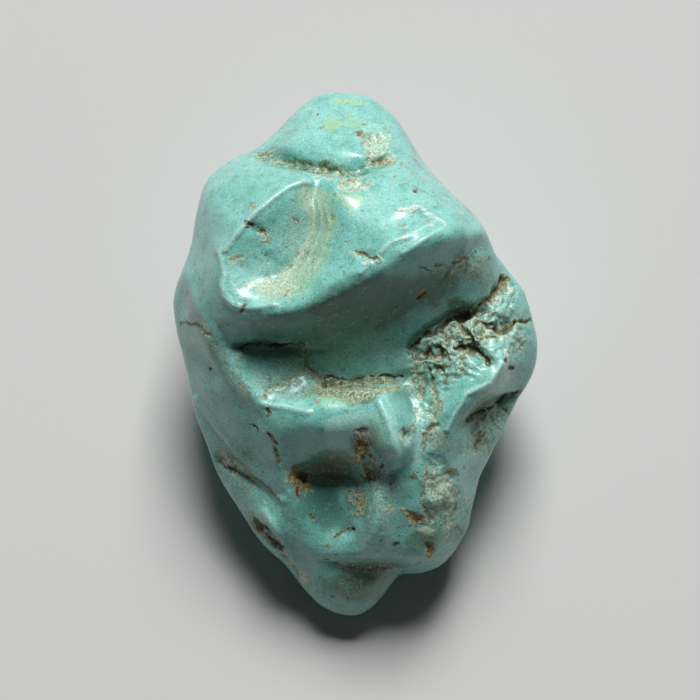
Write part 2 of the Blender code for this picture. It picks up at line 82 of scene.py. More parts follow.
# How far marks wander and over what length, in mm: narrow ones, wide ones and the sheets on the sides
FINE_WANDER = ((0.13, 0.5), (0.2, 1.5))
TORN_WANDER = ((0.45, 0.9), (0.9, 2.6))
SHEET_WANDER = ((0.35, 1.6), (0.7, 4.0))
SWELLS = ((0.05, 1.5), (0.06, 3.4))  # height and length of the skin's unevenness, in mm
USUAL_WIDTH = 0.9  # a mark's width as a share of the drawn one, before it varies
WIDTH_WAVES = ((0.9, 1.3), (0.7, 0.4))  # how much that width varies, and over what length in mm
WIDTH_LIMITS = (0.15, 2.0)  # the least and the most that it may become

# Torn grooves of the face: half width, depth, tint, strength of the tint, and the line that each follows
FISSURES = {
    "crown_groove": (0.15, 0.04, "pale", 0.6, [
        (-6.9, 13.0), (-6.2, 12.9), (-5.6, 12.9), (-5.1, 12.8), (-4.3, 12.7), (-3.5, 12.7), (-2.9, 12.6),
        (-2.1, 12.1),
    ]),
    "crown_groove_end": (0.2, 0.1, "pale", 0.42, [(-2.1, 12.1), (-1.2, 12.0), (-0.2, 12.2), (0.6, 12.4)]),
    "crown_groove_tail": (0.16, 0.08, "tan", 0.35, [(0.6, 12.4), (1.7, 12.7), (3.0, 12.6)]),
    "shelf_crease": (0.13, 0.14, "dark", 0.49, [
        (-7.8, 0.5), (-7.0, 0.8), (-6.2, 0.9), (-5.1, 0.6), (-4.2, 0.7), (-3.4, 0.6),
    ]),
    "shelf_step": (0.14, 0.08, "tan", 0.35, [(-3.4, 0.6), (-3.5, -0.4), (-2.9, -1.3), (-1.9, -1.5)]),
    "ledge_crease": (0.12, 0.14, "dark", 0.56, [(-2.2, -1.5), (-0.5, -1.7), (1.2, -1.4), (2.9, -1.4)]),
    "ledge_line": (0.13, 0.07, "tan", 0.42, [(-2.6, -1.9), (-1.2, -2.1), (0.6, -2.0), (2.4, -2.0)]),
    "cleft": (0.18, 0.2, "dark", 0.63, [
        (3.6, 0.6), (4.2, 1.2), (4.7, 1.3), (5.5, 1.7), (5.9, 2.2), (6.8, 2.6), (7.7, 2.8),
    ]),
    "cleft_end": (0.18, 0.14, "tan", 0.49, [(7.7, 2.8), (8.4, 3.4), (8.8, 3.7), (9.4, 4.5)]),
    "rubble_gap_low": (0.15, 0.16, "olive", 0.49, [
        (3.4, 0.3), (3.7, -0.3), (4.3, -0.1), (4.8, 0.3), (5.4, 0.0),
    ]),
    "rubble_gap_mid": (0.15, 0.22, "dark", 0.56, [
        (6.4, 0.5), (7.3, 0.4), (7.9, 0.2), (8.2, -0.1), (8.5, -0.5),
    ]),
    "rubble_gap_high": (0.15, 0.2, "olive", 0.56, [
        (7.9, 2.2), (8.5, 1.8), (9.9, 1.7), (10.7, 2.2), (11.6, 2.3),
    ]),
    "rubble_gap_cross": (0.14, 0.16, "tan", 0.42, [(6.6, 2.5), (6.9, 1.7), (7.5, 1.2), (7.6, 0.3)]),
    "trough_vein": (0.2, 0.08, "tan", 0.35, [
        (4.5, -0.5), (4.9, -1.8), (5.2, -3.1), (4.9, -4.4), (4.4, -5.8),
    ]),
    "trough_hook": (0.11, 0.08, "tan", 0.42, [(3.8, -3.6), (3.8, -4.5), (3.3, -5.1)]),
    "heel_vein": (0.16, 0.08, "tan", 0.35, [(4.6, -8.0), (4.3, -9.4), (4.7, -11.0)]),
    "knuckle_groove": (0.14, 0.14, "olive", 0.63, [
        (7.3, -4.4), (8.2, -3.7), (9.4, -3.1), (10.0, -2.6), (11.1, -2.3),
    ]),
    "knuckle_line": (0.12, 0.12, "dark", 0.63, [(9.7, -3.5), (10.1, -4.0)]),
    "flank_step": (0.11, 0.03, "olive", 0.42, [(-7.4, -7.5), (-6.5, -8.2), (-5.5, -9.1), (-4.9, -9.6)]),
    "flank_step_top": (0.12, 0.04, "pale", 0.42, [(-9.3, -6.7), (-8.3, -7.4), (-7.4, -7.5)]),
    "toe_crease": (0.12, 0.03, "olive", 0.3, [
        (-1.5, -13.9), (0.2, -14.2), (1.6, -14.3), (2.8, -14.1), (4.1, -13.9),
    ]),
    "toe_edge": (0.22, 0.06, "chalk", 0.75, [
        (-6.3, -12.1), (-5.3, -12.9), (-4.5, -13.7), (-3.9, -14.7), (-3.5, -15.5),
    ]),
    "keel_cut_high": (0.11, 0.1, "dark", 0.56, [(-7.1, -4.4), (-6.6, -4.9)]),
    "keel_cut_mid": (0.11, 0.1, "dark", 0.56, [(-6.1, -5.2), (-5.4, -5.7)]),
    "keel_cut_low": (0.11, 0.1, "dark", 0.49, [(-5.5, -6.2), (-5.2, -7.1)]),
    "shoulder_nick": (0.12, 0.1, "tan", 0.49, [(-11.5, 2.2), (-10.5, 1.9), (-9.7, 1.2)]),
    "low_chip_line": (0.11, 0.1, "olive", 0.56, [(-0.2, 6.7), (0.6, 6.5), (1.3, 6.1)]),
    "table_slit": (0.11, 0.1, "olive", 0.7, [(-4.3, 8.8), (-4.0, 8.5)]),
    "table_dash": (0.11, 0.07, "tan", 0.63, [(2.0, 11.4), (2.5, 11.6)]),
    "cliff_stroke_low": (0.11, 0.05, "olive", 0.6, [(4.0, 5.6), (4.7, 5.5)]),
    "cliff_stroke_mid": (0.12, 0.06, "dark", 0.5, [(5.1, 5.9), (5.8, 5.7)]),
    "cliff_stroke_high": (0.12, 0.06, "olive", 0.6, [(6.4, 6.0), (7.1, 6.3)]),
    "pocket_line": (0.12, 0.08, "tan", 0.56, [(-1.2, 11.2), (-0.4, 11.5), (0.5, 11.7)]),
}

# Pits and chips of the face: x, y, half length, half width, turn in degrees, depth, tint, strength.
# A depth below 0 raises a crust.
PITS = {
    # Painted shade: deep fills the crown recess here and the shelf recess further down.
    "crown_recess": (-6.1, 13.3, 0.5, 0.25, 10, 0.12, "deep_and_painted_shade", 1.0),
    "crown_pocket": (1.2, 13.9, 1.1, 0.7, 60, 0.1, "bloom", 1.0),
    "crown_pocket_foot": (1.2, 12.8, 1.2, 0.4, 5, 0.1, "pale", 0.4),
    "crown_olive": (0.07, 14.55, 0.36, 0.26, 20, 0.1, "olive", 1.0),
    "crown_hole": (-2.63, 16.1, 0.2, 0.14, 60, 0.07, "dark", 0.9),
    "table_pocket": (-0.3, 11.1, 1.0, 0.42, 15, 0.09, "bloom", 0.8),
    "scoop_pit": (-7.0, 8.4, 0.36, 0.18, -40, 0.12, "dark", 0.9),
    "scoop_pit_end": (-6.2, 8.1, 0.36, 0.16, -35, 0.08, "tan", 1.0),
    "scoop_nick": (-6.0, 7.4, 0.24, 0.12, -20, 0.06, "tan", 0.9),
    "scoop_chip": (-7.9, 6.3, 0.7, 0.25, 20, 0.06, "bloom", 1.0),
    "table_ring": (-6.9, 9.75, 0.33, 0.3, 0, 0.05, "tan", 0.6),
    "brow_pit": (-7.44, 3.0, 0.5, 0.16, 85, 0.12, "olive", 1.0),
    "table_dot": (3.7, 10.7, 0.13, 0.11, 0, 0.06, "dark", 1.0),
    "cliff_nick": (4.15, 3.95, 0.42, 0.2, 50, 0.1, "rust", 1.0),
    "cleft_hole_west": (4.55, 1.3, 0.34, 0.2, 40, 0.24, "dark", 1.0),
    "cleft_hole_east": (6.9, 2.6, 0.5, 0.2, 20, 0.24, "dark", 1.0),
    "cleft_hole_mid": (5.85, 2.15, 0.3, 0.16, 40, 0.21, "dark", 1.0),
    "right_hole_high": (9.6, -0.4, 0.17, 0.13, 0, 0.11, "dark", 1.0),
    "right_hole_low": (10.2, -0.8, 0.17, 0.13, 0, 0.11, "dark", 1.0),
    "keel_hole": (-9.74, -0.88, 0.24, 0.15, 80, 0.13, "dark", 1.0),
    "ledge_hole_left": (-2.12, -1.89, 0.2, 0.14, 80, 0.1, "dark", 1.0),
    "ledge_hole_right": (-1.13, -1.89, 0.18, 0.13, 0, 0.1, "dark", 1.0),
    "shelf_wear": (-5.2, -2.1, 1.1, 0.4, 25, 0.12, "pale", 0.5),
    "shelf_recess": (-6.1, -2.8, 0.3, 0.2, 100, 0.07, "deep_and_painted_shade", 1.0),
    "shelf_hole": (-5.93, -3.67, 0.22, 0.13, 100, 0.07, "dark", 0.9),
    "nose_pit": (0.15, -5.5, 0.7, 0.62, 84, -0.1, "chalk", 1.4),
    "nose_pit_gold": (0.1, -6.35, 0.75, 0.5, 84, -0.1, "tan", 1.6),
    "nose_pit_top": (0.3, -4.85, 0.5, 0.13, 5, 0.05, "olive", 0.7),
    "nose_pit_foot": (0.25, -6.85, 0.3, 0.18, 80, 0.05, "rust", 0.9),
    "nose_tail": (0.85, -8.0, 0.55, 0.28, 115, 0.12, "tan", 0.9),
    "nose_notch": (1.58, -7.27, 0.24, 0.14, 70, 0.08, "dark", 0.9),
    "tail_hole": (2.17, -8.5, 0.2, 0.13, 90, 0.08, "dark", 0.9),
    "pale_pit": (2.96, -5.2, 0.5, 0.32, 100, 0.1, "pale", 1.0),
    "rust_pit_ring": (-3.7, -8.1, 0.85, 0.58, -35, 0.03, "tan", 1.0),
    "rust_pit": (-3.6, -8.15, 0.6, 0.38, -35, 0.1, "rust", 1.0),
    "rust_pit_foot": (-3.95, -9.0, 0.3, 0.2, 100, 0.08, "rust", 1.0),
    "hollow_hole": (-3.9, -9.1, 0.24, 0.14, 100, 0.1, "dark", 1.0),
    "hollow_slit": (-3.0, -10.76, 0.24, 0.11, -40, 0.1, "dark", 1.0),
    "toe_pit": (-0.92, -11.8, 0.5, 0.2, 25, 0.08, "olive", 1.0),
    "toe_hole": (-0.22, -11.6, 0.18, 0.12, 0, 0.1, "dark", 1.0),
    "olive_pit": (0.1, -9.8, 0.9, 0.4, 80, 0.04, "tan", 0.6),
    "heel_pit": (4.65, -12.7, 0.53, 0.33, 95, 0.1, "tan", 1.0),
    "heel_hollow": (3.7, -10.65, 0.6, 0.34, 150, 0.08, "tan", 0.9),
    "heel_spot": (2.5, -12.45, 0.2, 0.14, 0, 0.07, "dark", 0.9),
    "flank_pit": (-8.8, -7.1, 0.6, 0.3, -35, 0.03, "chalk", 0.7),
    "edge_pit": (-6.6, -11.4, 0.6, 0.22, -60, 0.06, "olive", 0.7),
    "knuckle_pit": (7.9, -5.7, 0.6, 0.3, 70, 0.03, "olive", 0.5),
    "shoulder_end_pit": (9.7, 5.0, 0.5, 0.35, -50, 0.08, "olive", 0.8),
}

# Sharp ridges and chipped edges that tumbling has polished: half width, height and line
CRESTS = {
    "scoop_rim": (0.3, 0.2, [
        (-8.66, 6.72), (-7.44, 8.34), (-6.56, 9.28), (-5.42, 10.23), (-4.47, 10.91), (-3.52, 11.25),
        (-3.19, 11.18),
    ]),
    "scoop_foot": (0.35, 0.16, [
        (-8.93, 6.58), (-8.79, 5.84), (-8.66, 5.17), (-8.79, 4.49), (-8.66, 3.81), (-8.12, 3.27),
        (-7.58, 3.07), (-6.77, 3.07), (-5.42, 3.27),
    ]),
    "table_edge": (0.32, 0.18, [
        (5.05, 8.53), (3.76, 7.89), (2.64, 7.4), (2.0, 7.17), (1.36, 6.44), (1.28, 6.12),
    ]),
    "table_edge_low": (0.28, 0.1, [(5.37, 8.13), (4.17, 7.4), (3.28, 6.76), (2.88, 6.52)]),
    "table_arc": (0.25, 0.1, [(2.56, 9.41), (3.92, 9.58), (4.81, 9.01), (5.36, 8.69), (5.61, 8.37)]),
    "low_chip": (0.25, 0.12, [(0.87, 5.96), (0.15, 5.32)]),
    "lower_brow": (0.4, 0.14, [(-6.2, -3.2), (-4.9, -3.4), (-3.3, -3.7)]),
    "flank_ridge": (0.4, 0.12, [(-10.7, -2.9), (-9.2, -4.9), (-7.4, -7.0), (-5.4, -9.2)]),
    "flank_step_fill": (0.5, 0.16, [(-9.0, -6.9), (-7.4, -7.6), (-6.0, -8.7), (-5.0, -9.6)]),
    "hollow_bank": (0.4, 0.12, [(-6.2, -10.4), (-5.2, -12.2), (-4.2, -13.8)]),
    "middle_ridge": (0.5, 0.08, [(1.1, -8.6), (1.4, -10.4), (1.0, -12.0), (0.3, -13.0)]),
    "nose": (0.45, 0.2, [(1.4, -3.1), (1.9, -4.2), (2.3, -5.5), (2.5, -6.4)]),
    "knuckle": (0.25, 0.14, [(9.45, -0.51), (8.66, -1.83), (7.07, -2.57), (6.34, -3.83), (5.81, -4.89)]),
    "knuckle_branch": (0.22, 0.1, [(6.75, -0.83), (7.71, -1.3)]),
    "bank_line_near": (0.14, 0.06, [
        (-3.2, 10.4), (-2.9, 9.3), (-3.0, 8.3), (-3.4, 7.2), (-3.9, 6.2), (-4.4, 5.5), (-5.1, 4.5),
    ]),
    "bank_line_mid": (0.14, 0.06, [
        (-2.7, 10.2), (-2.4, 9.1), (-2.5, 8.0), (-2.9, 6.9), (-3.4, 5.9), (-3.9, 5.1),
    ]),
    "bank_line_far": (0.14, 0.05, [(-2.2, 9.8), (-1.9, 8.6), (-2.0, 7.5), (-2.4, 6.4), (-2.9, 5.5)]),
}

# Crumbled matrix of the face: x, y, half length, half width, turn in degrees, and how rough it is
CRUMBLES = {
    "rubble": (6.9, 1.0, 4.4, 2.2, 38, 1.0),
    "rubble_slope": (4.2, -1.4, 1.5, 1.1, -60, 0.7),
    "rubble_end": (9.8, 4.6, 1.0, 0.7, -50, 0.7),
    "trough": (4.6, -3.8, 2.4, 0.8, 92, 0.5),
    "right_rim": (10.5, 1.3, 1.9, 0.9, 84, 0.5),
    "heel": (5.8, -8.8, 3.6, 1.3, 96, 0.35),
    "flank": (8.4, -4.8, 2.6, 1.2, 52, 0.4),
    "crown_pocket": (1.2, 13.6, 1.7, 1.0, 60, 0.65),
    "crown_fissure": (-2.6, 12.3, 2.8, 0.45, -8, 0.5),
    "ledge": (-0.2, -2.0, 3.0, 0.4, 2, 0.5),
    "nose_tail": (0.6, -6.6, 2.2, 0.7, 98, 0.55),
    "right_shelf": (9.6, 3.4, 1.9, 1.0, -62, 0.7),
    "right_bank": (8.6, 0.2, 2.6, 1.2, 30, 0.6),
    "lower_edge": (-5.8, -12.0, 1.8, 0.7, -48, 0.7),
    "left_flank": (-8.6, -7.2, 1.2, 0.5, -30, 0.6),
    "cliff_foot": (6.2, 5.2, 2.2, 0.9, 30, 0.25),
}

# Dusty skin, thick with fine specks but not crumbled: x, y, half length, half width, turn, strength
GRITTY = (
    (6.6, 5.4, 3.4, 1.4, 30, 0.4), (0.4, -2.2, 3.4, 0.7, 2, 0.7), (-2.8, -1.8, 1.4, 0.7, 0, 0.5),
    (-1.4, -2.4, 2.4, 0.45, 0, 0.8), (2.0, 3.4, 5.4, 1.6, 14, 0.22), (-4.6, -1.4, 2.8, 1.6, -8, 0.4),
    (-2.4, -7.6, 3.2, 1.2, 0, 0.5), (4.9, -4.0, 3.8, 1.2, 92, 0.4), (5.6, -9.4, 4.2, 1.7, 96, 0.6),
    (8.6, -4.4, 3.2, 1.8, 52, 0.5), (-0.6, -15.6, 2.4, 1.2, 0, 0.3), (10.2, 0.4, 2.6, 1.4, 80, 0.4),
    (1.4, -8.6, 3.0, 1.0, 96, 0.5), (0.6, -10.6, 2.6, 0.8, 90, 0.4), (-8.6, -0.9, 4.4, 0.7, -62, 0.3),
    (-7.8, -7.6, 3.0, 1.2, -38, 0.5), (-5.8, -12.0, 2.6, 1.0, -48, 0.5), (1.2, 13.6, 2.2, 1.5, 60, 0.3),
    (-2.8, 12.4, 3.6, 0.6, -8, 0.5), (-4.0, 5.6, 2.4, 1.2, 50, 0.3), (-4.4, 8.4, 2.6, 1.2, 70, 0.35),
    (0.2, 0.6, 4.6, 1.2, 0, 0.3), (1.0, -14.2, 3.2, 0.6, 0, 0.5), (4.2, 9.3, 1.8, 0.7, -15, 0.35),
    (9.6, 2.4, 3.2, 1.8, 80, 0.4), (-3.4, 2.8, 4.6, 0.9, -5, 0.25),
)

LUMPS = ((1.15, 0.2), (0.5, 0.11))  # sizes of the lumps that matrix breaks into, and the depth of their gaps
GAP_WIDTH = 0.45  # share of a lump's size
GAP_OLIVE = 0.3  # strength of the olive in the gaps
LUMP_ROUGHNESS = (0.15, 0.6)  # of a lump, and what its gap adds
CRAGS_TO_MM = (1.2, 2.0, 1.6)  # along each axis
CRAG_WIDTH = 0.3
CRAG_DEPTH = 0.35
PEBBLE_SIZE = 0.35
PEBBLE_HEIGHT = 0.1
CRUMBLE_DIRT_AND_SHADE = 0.6  # in crumbled matrix; sets the dark dirt and painted shade laid in its crevices
SHEET_CRUMBLE = 0.6  # how broken a sheet of matrix is where it is widest

# Tinted patches of the face: x, y, half length, half width, turn in degrees, strength
PATCHES = {
    # Painted shade: the deep patches darken the cliff, the hollows under the nose and the lower block, the
    # toe and other faces turned from the light.
    "deep_and_painted_shade": [
        (-5.3, 13.4, 1.4, 0.5, 0, 0.6), (1.0, 3.4, 6.4, 1.9, 14, 1.0), (-4.9, 1.6, 3.4, 1.0, -8, 0.9),
        (-1.8, -7.0, 2.4, 0.7, 0, 0.7), (-2.4, -10.2, 2.4, 1.7, -40, 0.65), (0.0, -14.9, 2.6, 0.9, 0, 0.6),
        (6.4, 3.3, 0.6, 0.5, 20, 0.8), (-9.6, 8.2, 1.6, 0.8, 70, 0.3),
    ],
    "green": [
        (-0.6, 16.9, 1.4, 0.35, 0, 0.8), (-0.9, 15.6, 1.6, 0.8, 0, 0.6), (-1.8, 15.2, 0.6, 0.45, 0, 1.0),
        (0.45, 14.5, 0.4, 0.25, 30, 0.9), (-0.8, 10.0, 1.4, 0.6, 20, 0.7), (-0.1, 9.9, 0.6, 0.4, 10, 1.0),
        (-2.8, -2.0, 1.0, 0.6, 0, 0.6), (1.3, -5.1, 1.5, 0.7, 95, 0.4), (-1.5, -3.0, 1.8, 0.5, 0, 0.5),
        (1.6, 15.2, 1.2, 0.8, 0, 0.3),
    ],
    "grey": [
        (-4.3, 8.3, 2.0, 0.9, 75, 0.5), (-3.6, 10.6, 0.6, 0.4, 60, 1.0), (-3.3, 9.9, 0.8, 0.25, 80, 0.8),
        (-6.9, 9.4, 1.2, 0.5, 45, 0.3), (-5.2, 6.4, 1.2, 0.8, 60, 0.3),
    ],
    "pale": [
        (-4.2, 5.1, 1.2, 0.7, 40, 0.5), (-5.6, 4.4, 2.2, 0.5, -5, 0.6), (0.0, -2.1, 3.0, 0.35, 0, 0.4),
        # Partly painted light: the patch at (8.3, -5.7) lightens the flank below the knuckle groove, which
        # lies in shade, besides giving it pale grains.
        (5.2, -5.3, 0.7, 0.6, 0, 0.6), (8.3, -5.7, 1.7, 0.8, 50, 0.4), (5.6, -8.5, 1.8, 0.9, 100, 0.45),
        (4.6, -11.7, 0.6, 0.35, -10, 0.9), (10.6, 0.9, 0.9, 0.7, 0, 0.5), (8.9, 1.3, 1.1, 0.4, 20, 0.5),
        (0.15, -5.5, 0.55, 0.5, 0, 1.6), (-8.7, -7.2, 0.9, 0.45, -35, 0.5), (-1.8, 11.7, 1.8, 0.3, -3, 0.6),
        (-6.2, 7.8, 0.5, 0.16, -20, 0.8), (5.5, 1.6, 0.35, 0.2, 20, 1.0), (7.0, 2.3, 0.3, 0.15, 20, 1.0),
        (2.1, -10.1, 0.35, 0.25, 0, 0.8), (5.0, 0.5, 0.8, 0.6, 0, 0.45), (3.9, -1.6, 1.1, 0.8, -30, 0.5),
        (-7.8, 0.1, 0.4, 0.2, 80, 0.9),
    ],
    "chalk": [
        (1.6, 14.2, 0.6, 0.45, 0, 0.45), (1.2, 13.6, 1.1, 0.5, 60, 0.3), (-0.3, 11.1, 0.9, 0.4, 15, 0.4),
        (0.6, 5.9, 0.34, 0.2, -30, 1.0), (10.1, 4.3, 0.34, 0.26, 0, 1.0), (9.7, 0.0, 0.26, 0.35, 0, 0.9),
        (6.0, -10.5, 0.3, 0.22, 60, 0.9), (6.2, -11.3, 0.26, 0.2, 0, 0.9), (7.3, -9.6, 0.34, 0.24, 20, 0.9),
        (-5.86, -12.3, 0.26, 0.2, 0, 1.0), (-8.3, -8.0, 0.24, 0.18, 0, 1.0),
        (-6.05, -9.9, 0.16, 0.14, 0, 1.0), (-0.2, 10.85, 0.8, 0.1, 12, 0.9), (4.3, -5.0, 0.2, 0.16, 0, 0.8),
    ],
    "tan": [
        (-0.3, 11.5, 0.8, 0.12, 12, 0.9), (6.4, 5.4, 1.6, 0.5, 35, 0.2), (-1.8, -7.6, 2.0, 0.5, 0, 0.4),
        (9.7, 5.0, 0.5, 0.35, -50, 0.7), (8.1, 2.05, 0.7, 0.3, 10, 0.5), (8.9, 1.2, 1.0, 0.25, 20, 0.4),
        (8.3, -4.2, 0.8, 0.3, 42, 0.6), (3.9, -1.4, 1.2, 0.8, -60, 0.3), (-8.0, 6.5, 0.5, 0.12, 10, 0.9),
        (5.4, 3.2, 0.8, 0.3, 30, 0.5), (1.0, -7.2, 0.5, 0.3, 100, 0.6), (0.1, -6.3, 0.7, 0.45, 84, 1.5),
    ],
    "olive": [
        (6.3, -7.75, 0.5, 0.4, 0, 0.8), (6.1, 3.3, 0.4, 0.35, 0, 0.6), (8.2, -5.5, 0.4, 0.3, 0, 0.5),
        (3.64, -8.1, 0.3, 0.25, 0, 0.9), (-6.56, -11.5, 0.5, 0.3, -50, 0.7),
    ],
    "rust": [
        (2.9, 8.4, 0.4, 0.12, 30, 0.9), (2.8, 7.8, 0.16, 0.12, 0, 1.0), (4.5, 8.65, 0.16, 0.11, 0, 0.9),
        (2.6, -2.04, 0.24, 0.17, 0, 1.0), (-2.7, -3.0, 0.3, 0.16, 0, 0.8), (-9.1, 6.8, 0.18, 0.15, 0, 0.8),
        (-4.0, 6.6, 0.16, 0.2, 0, 1.0), (-7.2, 4.35, 0.18, 0.13, 0, 0.8), (-6.5, 4.1, 0.18, 0.13, 0, 0.8),
        (-4.5, 4.15, 0.3, 0.16, 0, 1.0), (-6.0, 4.3, 0.3, 0.2, 0, 0.6), (2.03, 12.67, 0.2, 0.15, 0, 1.0),
        (1.4, 12.4, 0.2, 0.14, 0, 0.9), (-3.07, 16.2, 0.2, 0.1, 60, 0.9), (3.1, 2.1, 0.2, 0.16, 0, 0.9),
        (1.44, 1.9, 0.15, 0.13, 0, 1.0), (-1.46, 2.6, 0.15, 0.13, 0, 1.0),
        (-2.06, -12.6, 0.17, 0.14, 0, 1.0), (-2.3, -15.96, 0.2, 0.15, 0, 1.0),
        (-8.7, 12.4, 0.3, 0.2, 0, 0.6), (-9.1, 2.1, 0.2, 0.16, 0, 0.8), (-1.66, 7.2, 0.2, 0.1, 0, 0.9),
        (4.3, 4.1, 0.2, 0.14, 45, 1.0), (5.2, 5.9, 0.22, 0.15, 0, 0.8),
    ],
    "dark": [
        (-0.6, 2.9, 0.15, 0.11, 20, 0.9), (0.6, 2.2, 0.16, 0.12, 0, 0.8), (2.3, 2.9, 0.2, 0.11, 30, 0.9),
        (1.9, 1.2, 0.14, 0.12, 0, 0.8), (-2.9, 1.6, 0.22, 0.1, 10, 0.8), (-9.4, 5.4, 0.14, 0.11, 0, 0.8),
        (-3.6, -8.3, 0.3, 0.24, -30, 0.9), (-1.55, -13.2, 0.15, 0.13, 0, 1.0),
        (-2.12, -13.74, 0.15, 0.13, 0, 1.0), (-1.68, -16.3, 0.16, 0.13, 0, 1.0),
        (-0.66, -16.3, 0.15, 0.12, 0, 1.0), (2.8, 6.1, 0.14, 0.12, 0, 1.0), (6.9, 7.1, 0.15, 0.12, 0, 0.9),
        (-1.5, -0.1, 0.18, 0.12, 0, 0.9), (-2.2, 2.6, 0.12, 0.12, 0, 0.8), (7.7, 6.8, 0.14, 0.12, 0, 0.8),
        (8.5, 6.4, 0.14, 0.12, 0, 0.8), (4.0, 3.8, 0.2, 0.12, 45, 0.9),
    ],
    "mauve": [
        (-10.1, -0.7, 4.6, 1.4, -68, 0.35), (-2.0, -7.9, 1.6, 0.9, 0, 0.7), (-8.6, -4.4, 4.0, 1.6, -58, 0.3),
        (6.6, 5.0, 2.8, 1.2, 30, 0.35), (-7.4, -2.7, 0.5, 0.2, -70, 0.5),
    ],
    # Painted light: most bloom patches lighten faces turned from the light, on the trough, nose, flanks,
    # heel and scoop; the band along the brow is a painted highlight.
    "bloom": [
        (4.0, -5.2, 1.0, 2.2, 0, 0.9), (2.2, -4.6, 1.6, 0.5, 100, 0.7), (6.1, -9.0, 2.8, 1.0, 96, 0.8),
        (8.4, -5.6, 2.4, 1.3, 50, 1.0), (9.6, -1.6, 1.8, 1.0, 40, 0.8), (5.0, 0.2, 1.6, 1.0, 20, 0.6),
        (-9.3, -3.4, 3.6, 0.7, -62, 0.5), (1.6, -10.4, 2.4, 0.5, 96, 0.6), (9.2, 1.4, 2.4, 1.6, 60, 0.5),
        (-7.4, -9.4, 2.6, 1.2, -45, 0.4), (0.6, -12.6, 1.0, 0.6, 0, 0.5), (-0.4, -5.2, 1.6, 1.4, 0, 1.0),
        (-7.0, 5.6, 1.7, 1.3, 20, 0.6), (-0.3, 4.6, 4.0, 0.5, 12, 0.3), (0.9, 14.2, 1.8, 1.2, 60, 0.5),
    ],
    "moss": [
        (0.0, -15.3, 2.6, 1.3, 0, 0.7), (-1.5, -2.5, 2.2, 0.45, 0, 0.9), (-0.2, -2.3, 3.4, 0.8, 0, 0.85),
        (4.2, -12.2, 1.5, 0.9, 60, 0.6), (-1.9, -7.7, 2.2, 0.6, 0, 0.6), (0.6, 2.0, 5.2, 1.2, 10, 0.35),
        (7.0, 5.4, 2.6, 0.9, 30, 0.5), (7.8, -3.7, 2.4, 0.35, 44, 0.6), (5.2, -10.6, 1.8, 1.0, 90, 0.4),
        (0.6, -14.1, 3.0, 0.4, 0, 0.6), (-3.6, 12.7, 2.6, 0.3, -4, 0.6), (8.9, 1.4, 1.6, 0.5, 20, 0.6),
        (-4.7, 0.2, 3.4, 0.4, 0, 0.7), (-7.6, -7.7, 2.6, 0.5, -38, 0.5), (0.1, -10.0, 1.2, 0.7, 80, 0.6),
        (-6.6, -11.6, 0.9, 0.5, -60, 0.7), (3.9, -1.5, 1.6, 1.1, -40, 0.5), (-3.7, -8.2, 1.3, 0.9, -30, 0.5),
    ],
}

# Tinted bands of the face: half width, strength, line. Some lie along a crest, or its first points.
BANDS = {
    "cream": [(1.0, 1.0, [(-3.0, 10.2), (-2.6, 8.6), (-2.8, 7.0), (-3.6, 5.6), (-4.6, 4.6), (-5.8, 4.3)])],
    "green": [(0.5, 0.5, [(-2.2, 10.3), (-1.7, 8.6), (-1.8, 7.0), (-2.5, 5.3), (-3.4, 4.4)])],
    "pale": [
        (0.13, 0.9, CRESTS["bank_line_near"][-1]), (0.1, 0.7, CRESTS["bank_line_mid"][-1]),
        (0.1, 0.6, CRESTS["bank_line_far"][-1]),
        (0.16, 0.8, [(-3.6, 0.45), (-3.2, 0.6)]), (0.1, 0.6, [(-11.6, 3.2), (-10.8, 1.8), (-9.9, 0.4)]),
        (0.09, 0.6, [(-8.5, 0.6), (-7.9, -0.9), (-7.2, -2.4)]),
    ],
    "olive": [
        (0.08, 0.6, [(-11.3, 3.9), (-10.6, 2.6), (-9.9, 1.6)]),
        (0.08, 0.5, [(-9.4, 0.9), (-8.6, -0.5), (-7.9, -1.8)]),
        (0.07, 0.6, [(-8.0, -0.4), (-7.5, -1.6), (-7.1, -2.8)]), (0.08, 0.5, [(-7.3, -3.6), (-6.4, -5.1)]),
    ],
    "tan": [(0.12, 0.8, [(-7.95, -1.8), (-7.5, -2.9)]), (0.1, 0.6, [(-5.5, -6.0), (-5.2, -7.2)])],
    # Painted highlight: the chalk bands along the crests stand for the white gleam of light on polished
    # edges, with some paler wear.
    "chalk": [
        (0.12, 0.9, CRESTS["table_arc"][-1]), (0.12, 0.75, CRESTS["table_edge"][-1]),
        (0.1, 0.65, CRESTS["scoop_rim"][-1][:6]), (0.14, 0.65, CRESTS["scoop_foot"][-1][:6]),
        (0.1, 0.6, CRESTS["knuckle"][-1]), (0.1, 0.6, CRESTS["lower_brow"][-1]),
    ],
    "mauve": [
        (0.55, 0.6, [(-11.5, 4.6), (-10.9, 2.9), (-9.9, 1.3), (-8.8, -0.7), (-7.6, -2.5), (-6.9, -4.0)]),
        (0.3, 0.35, [(-10.8, -1.7), (-9.9, -3.2), (-8.8, -5.2)]),
    ],
}

WIDE_PATCH = 0.5  # mm; a patch with more than this half width has a torn outline
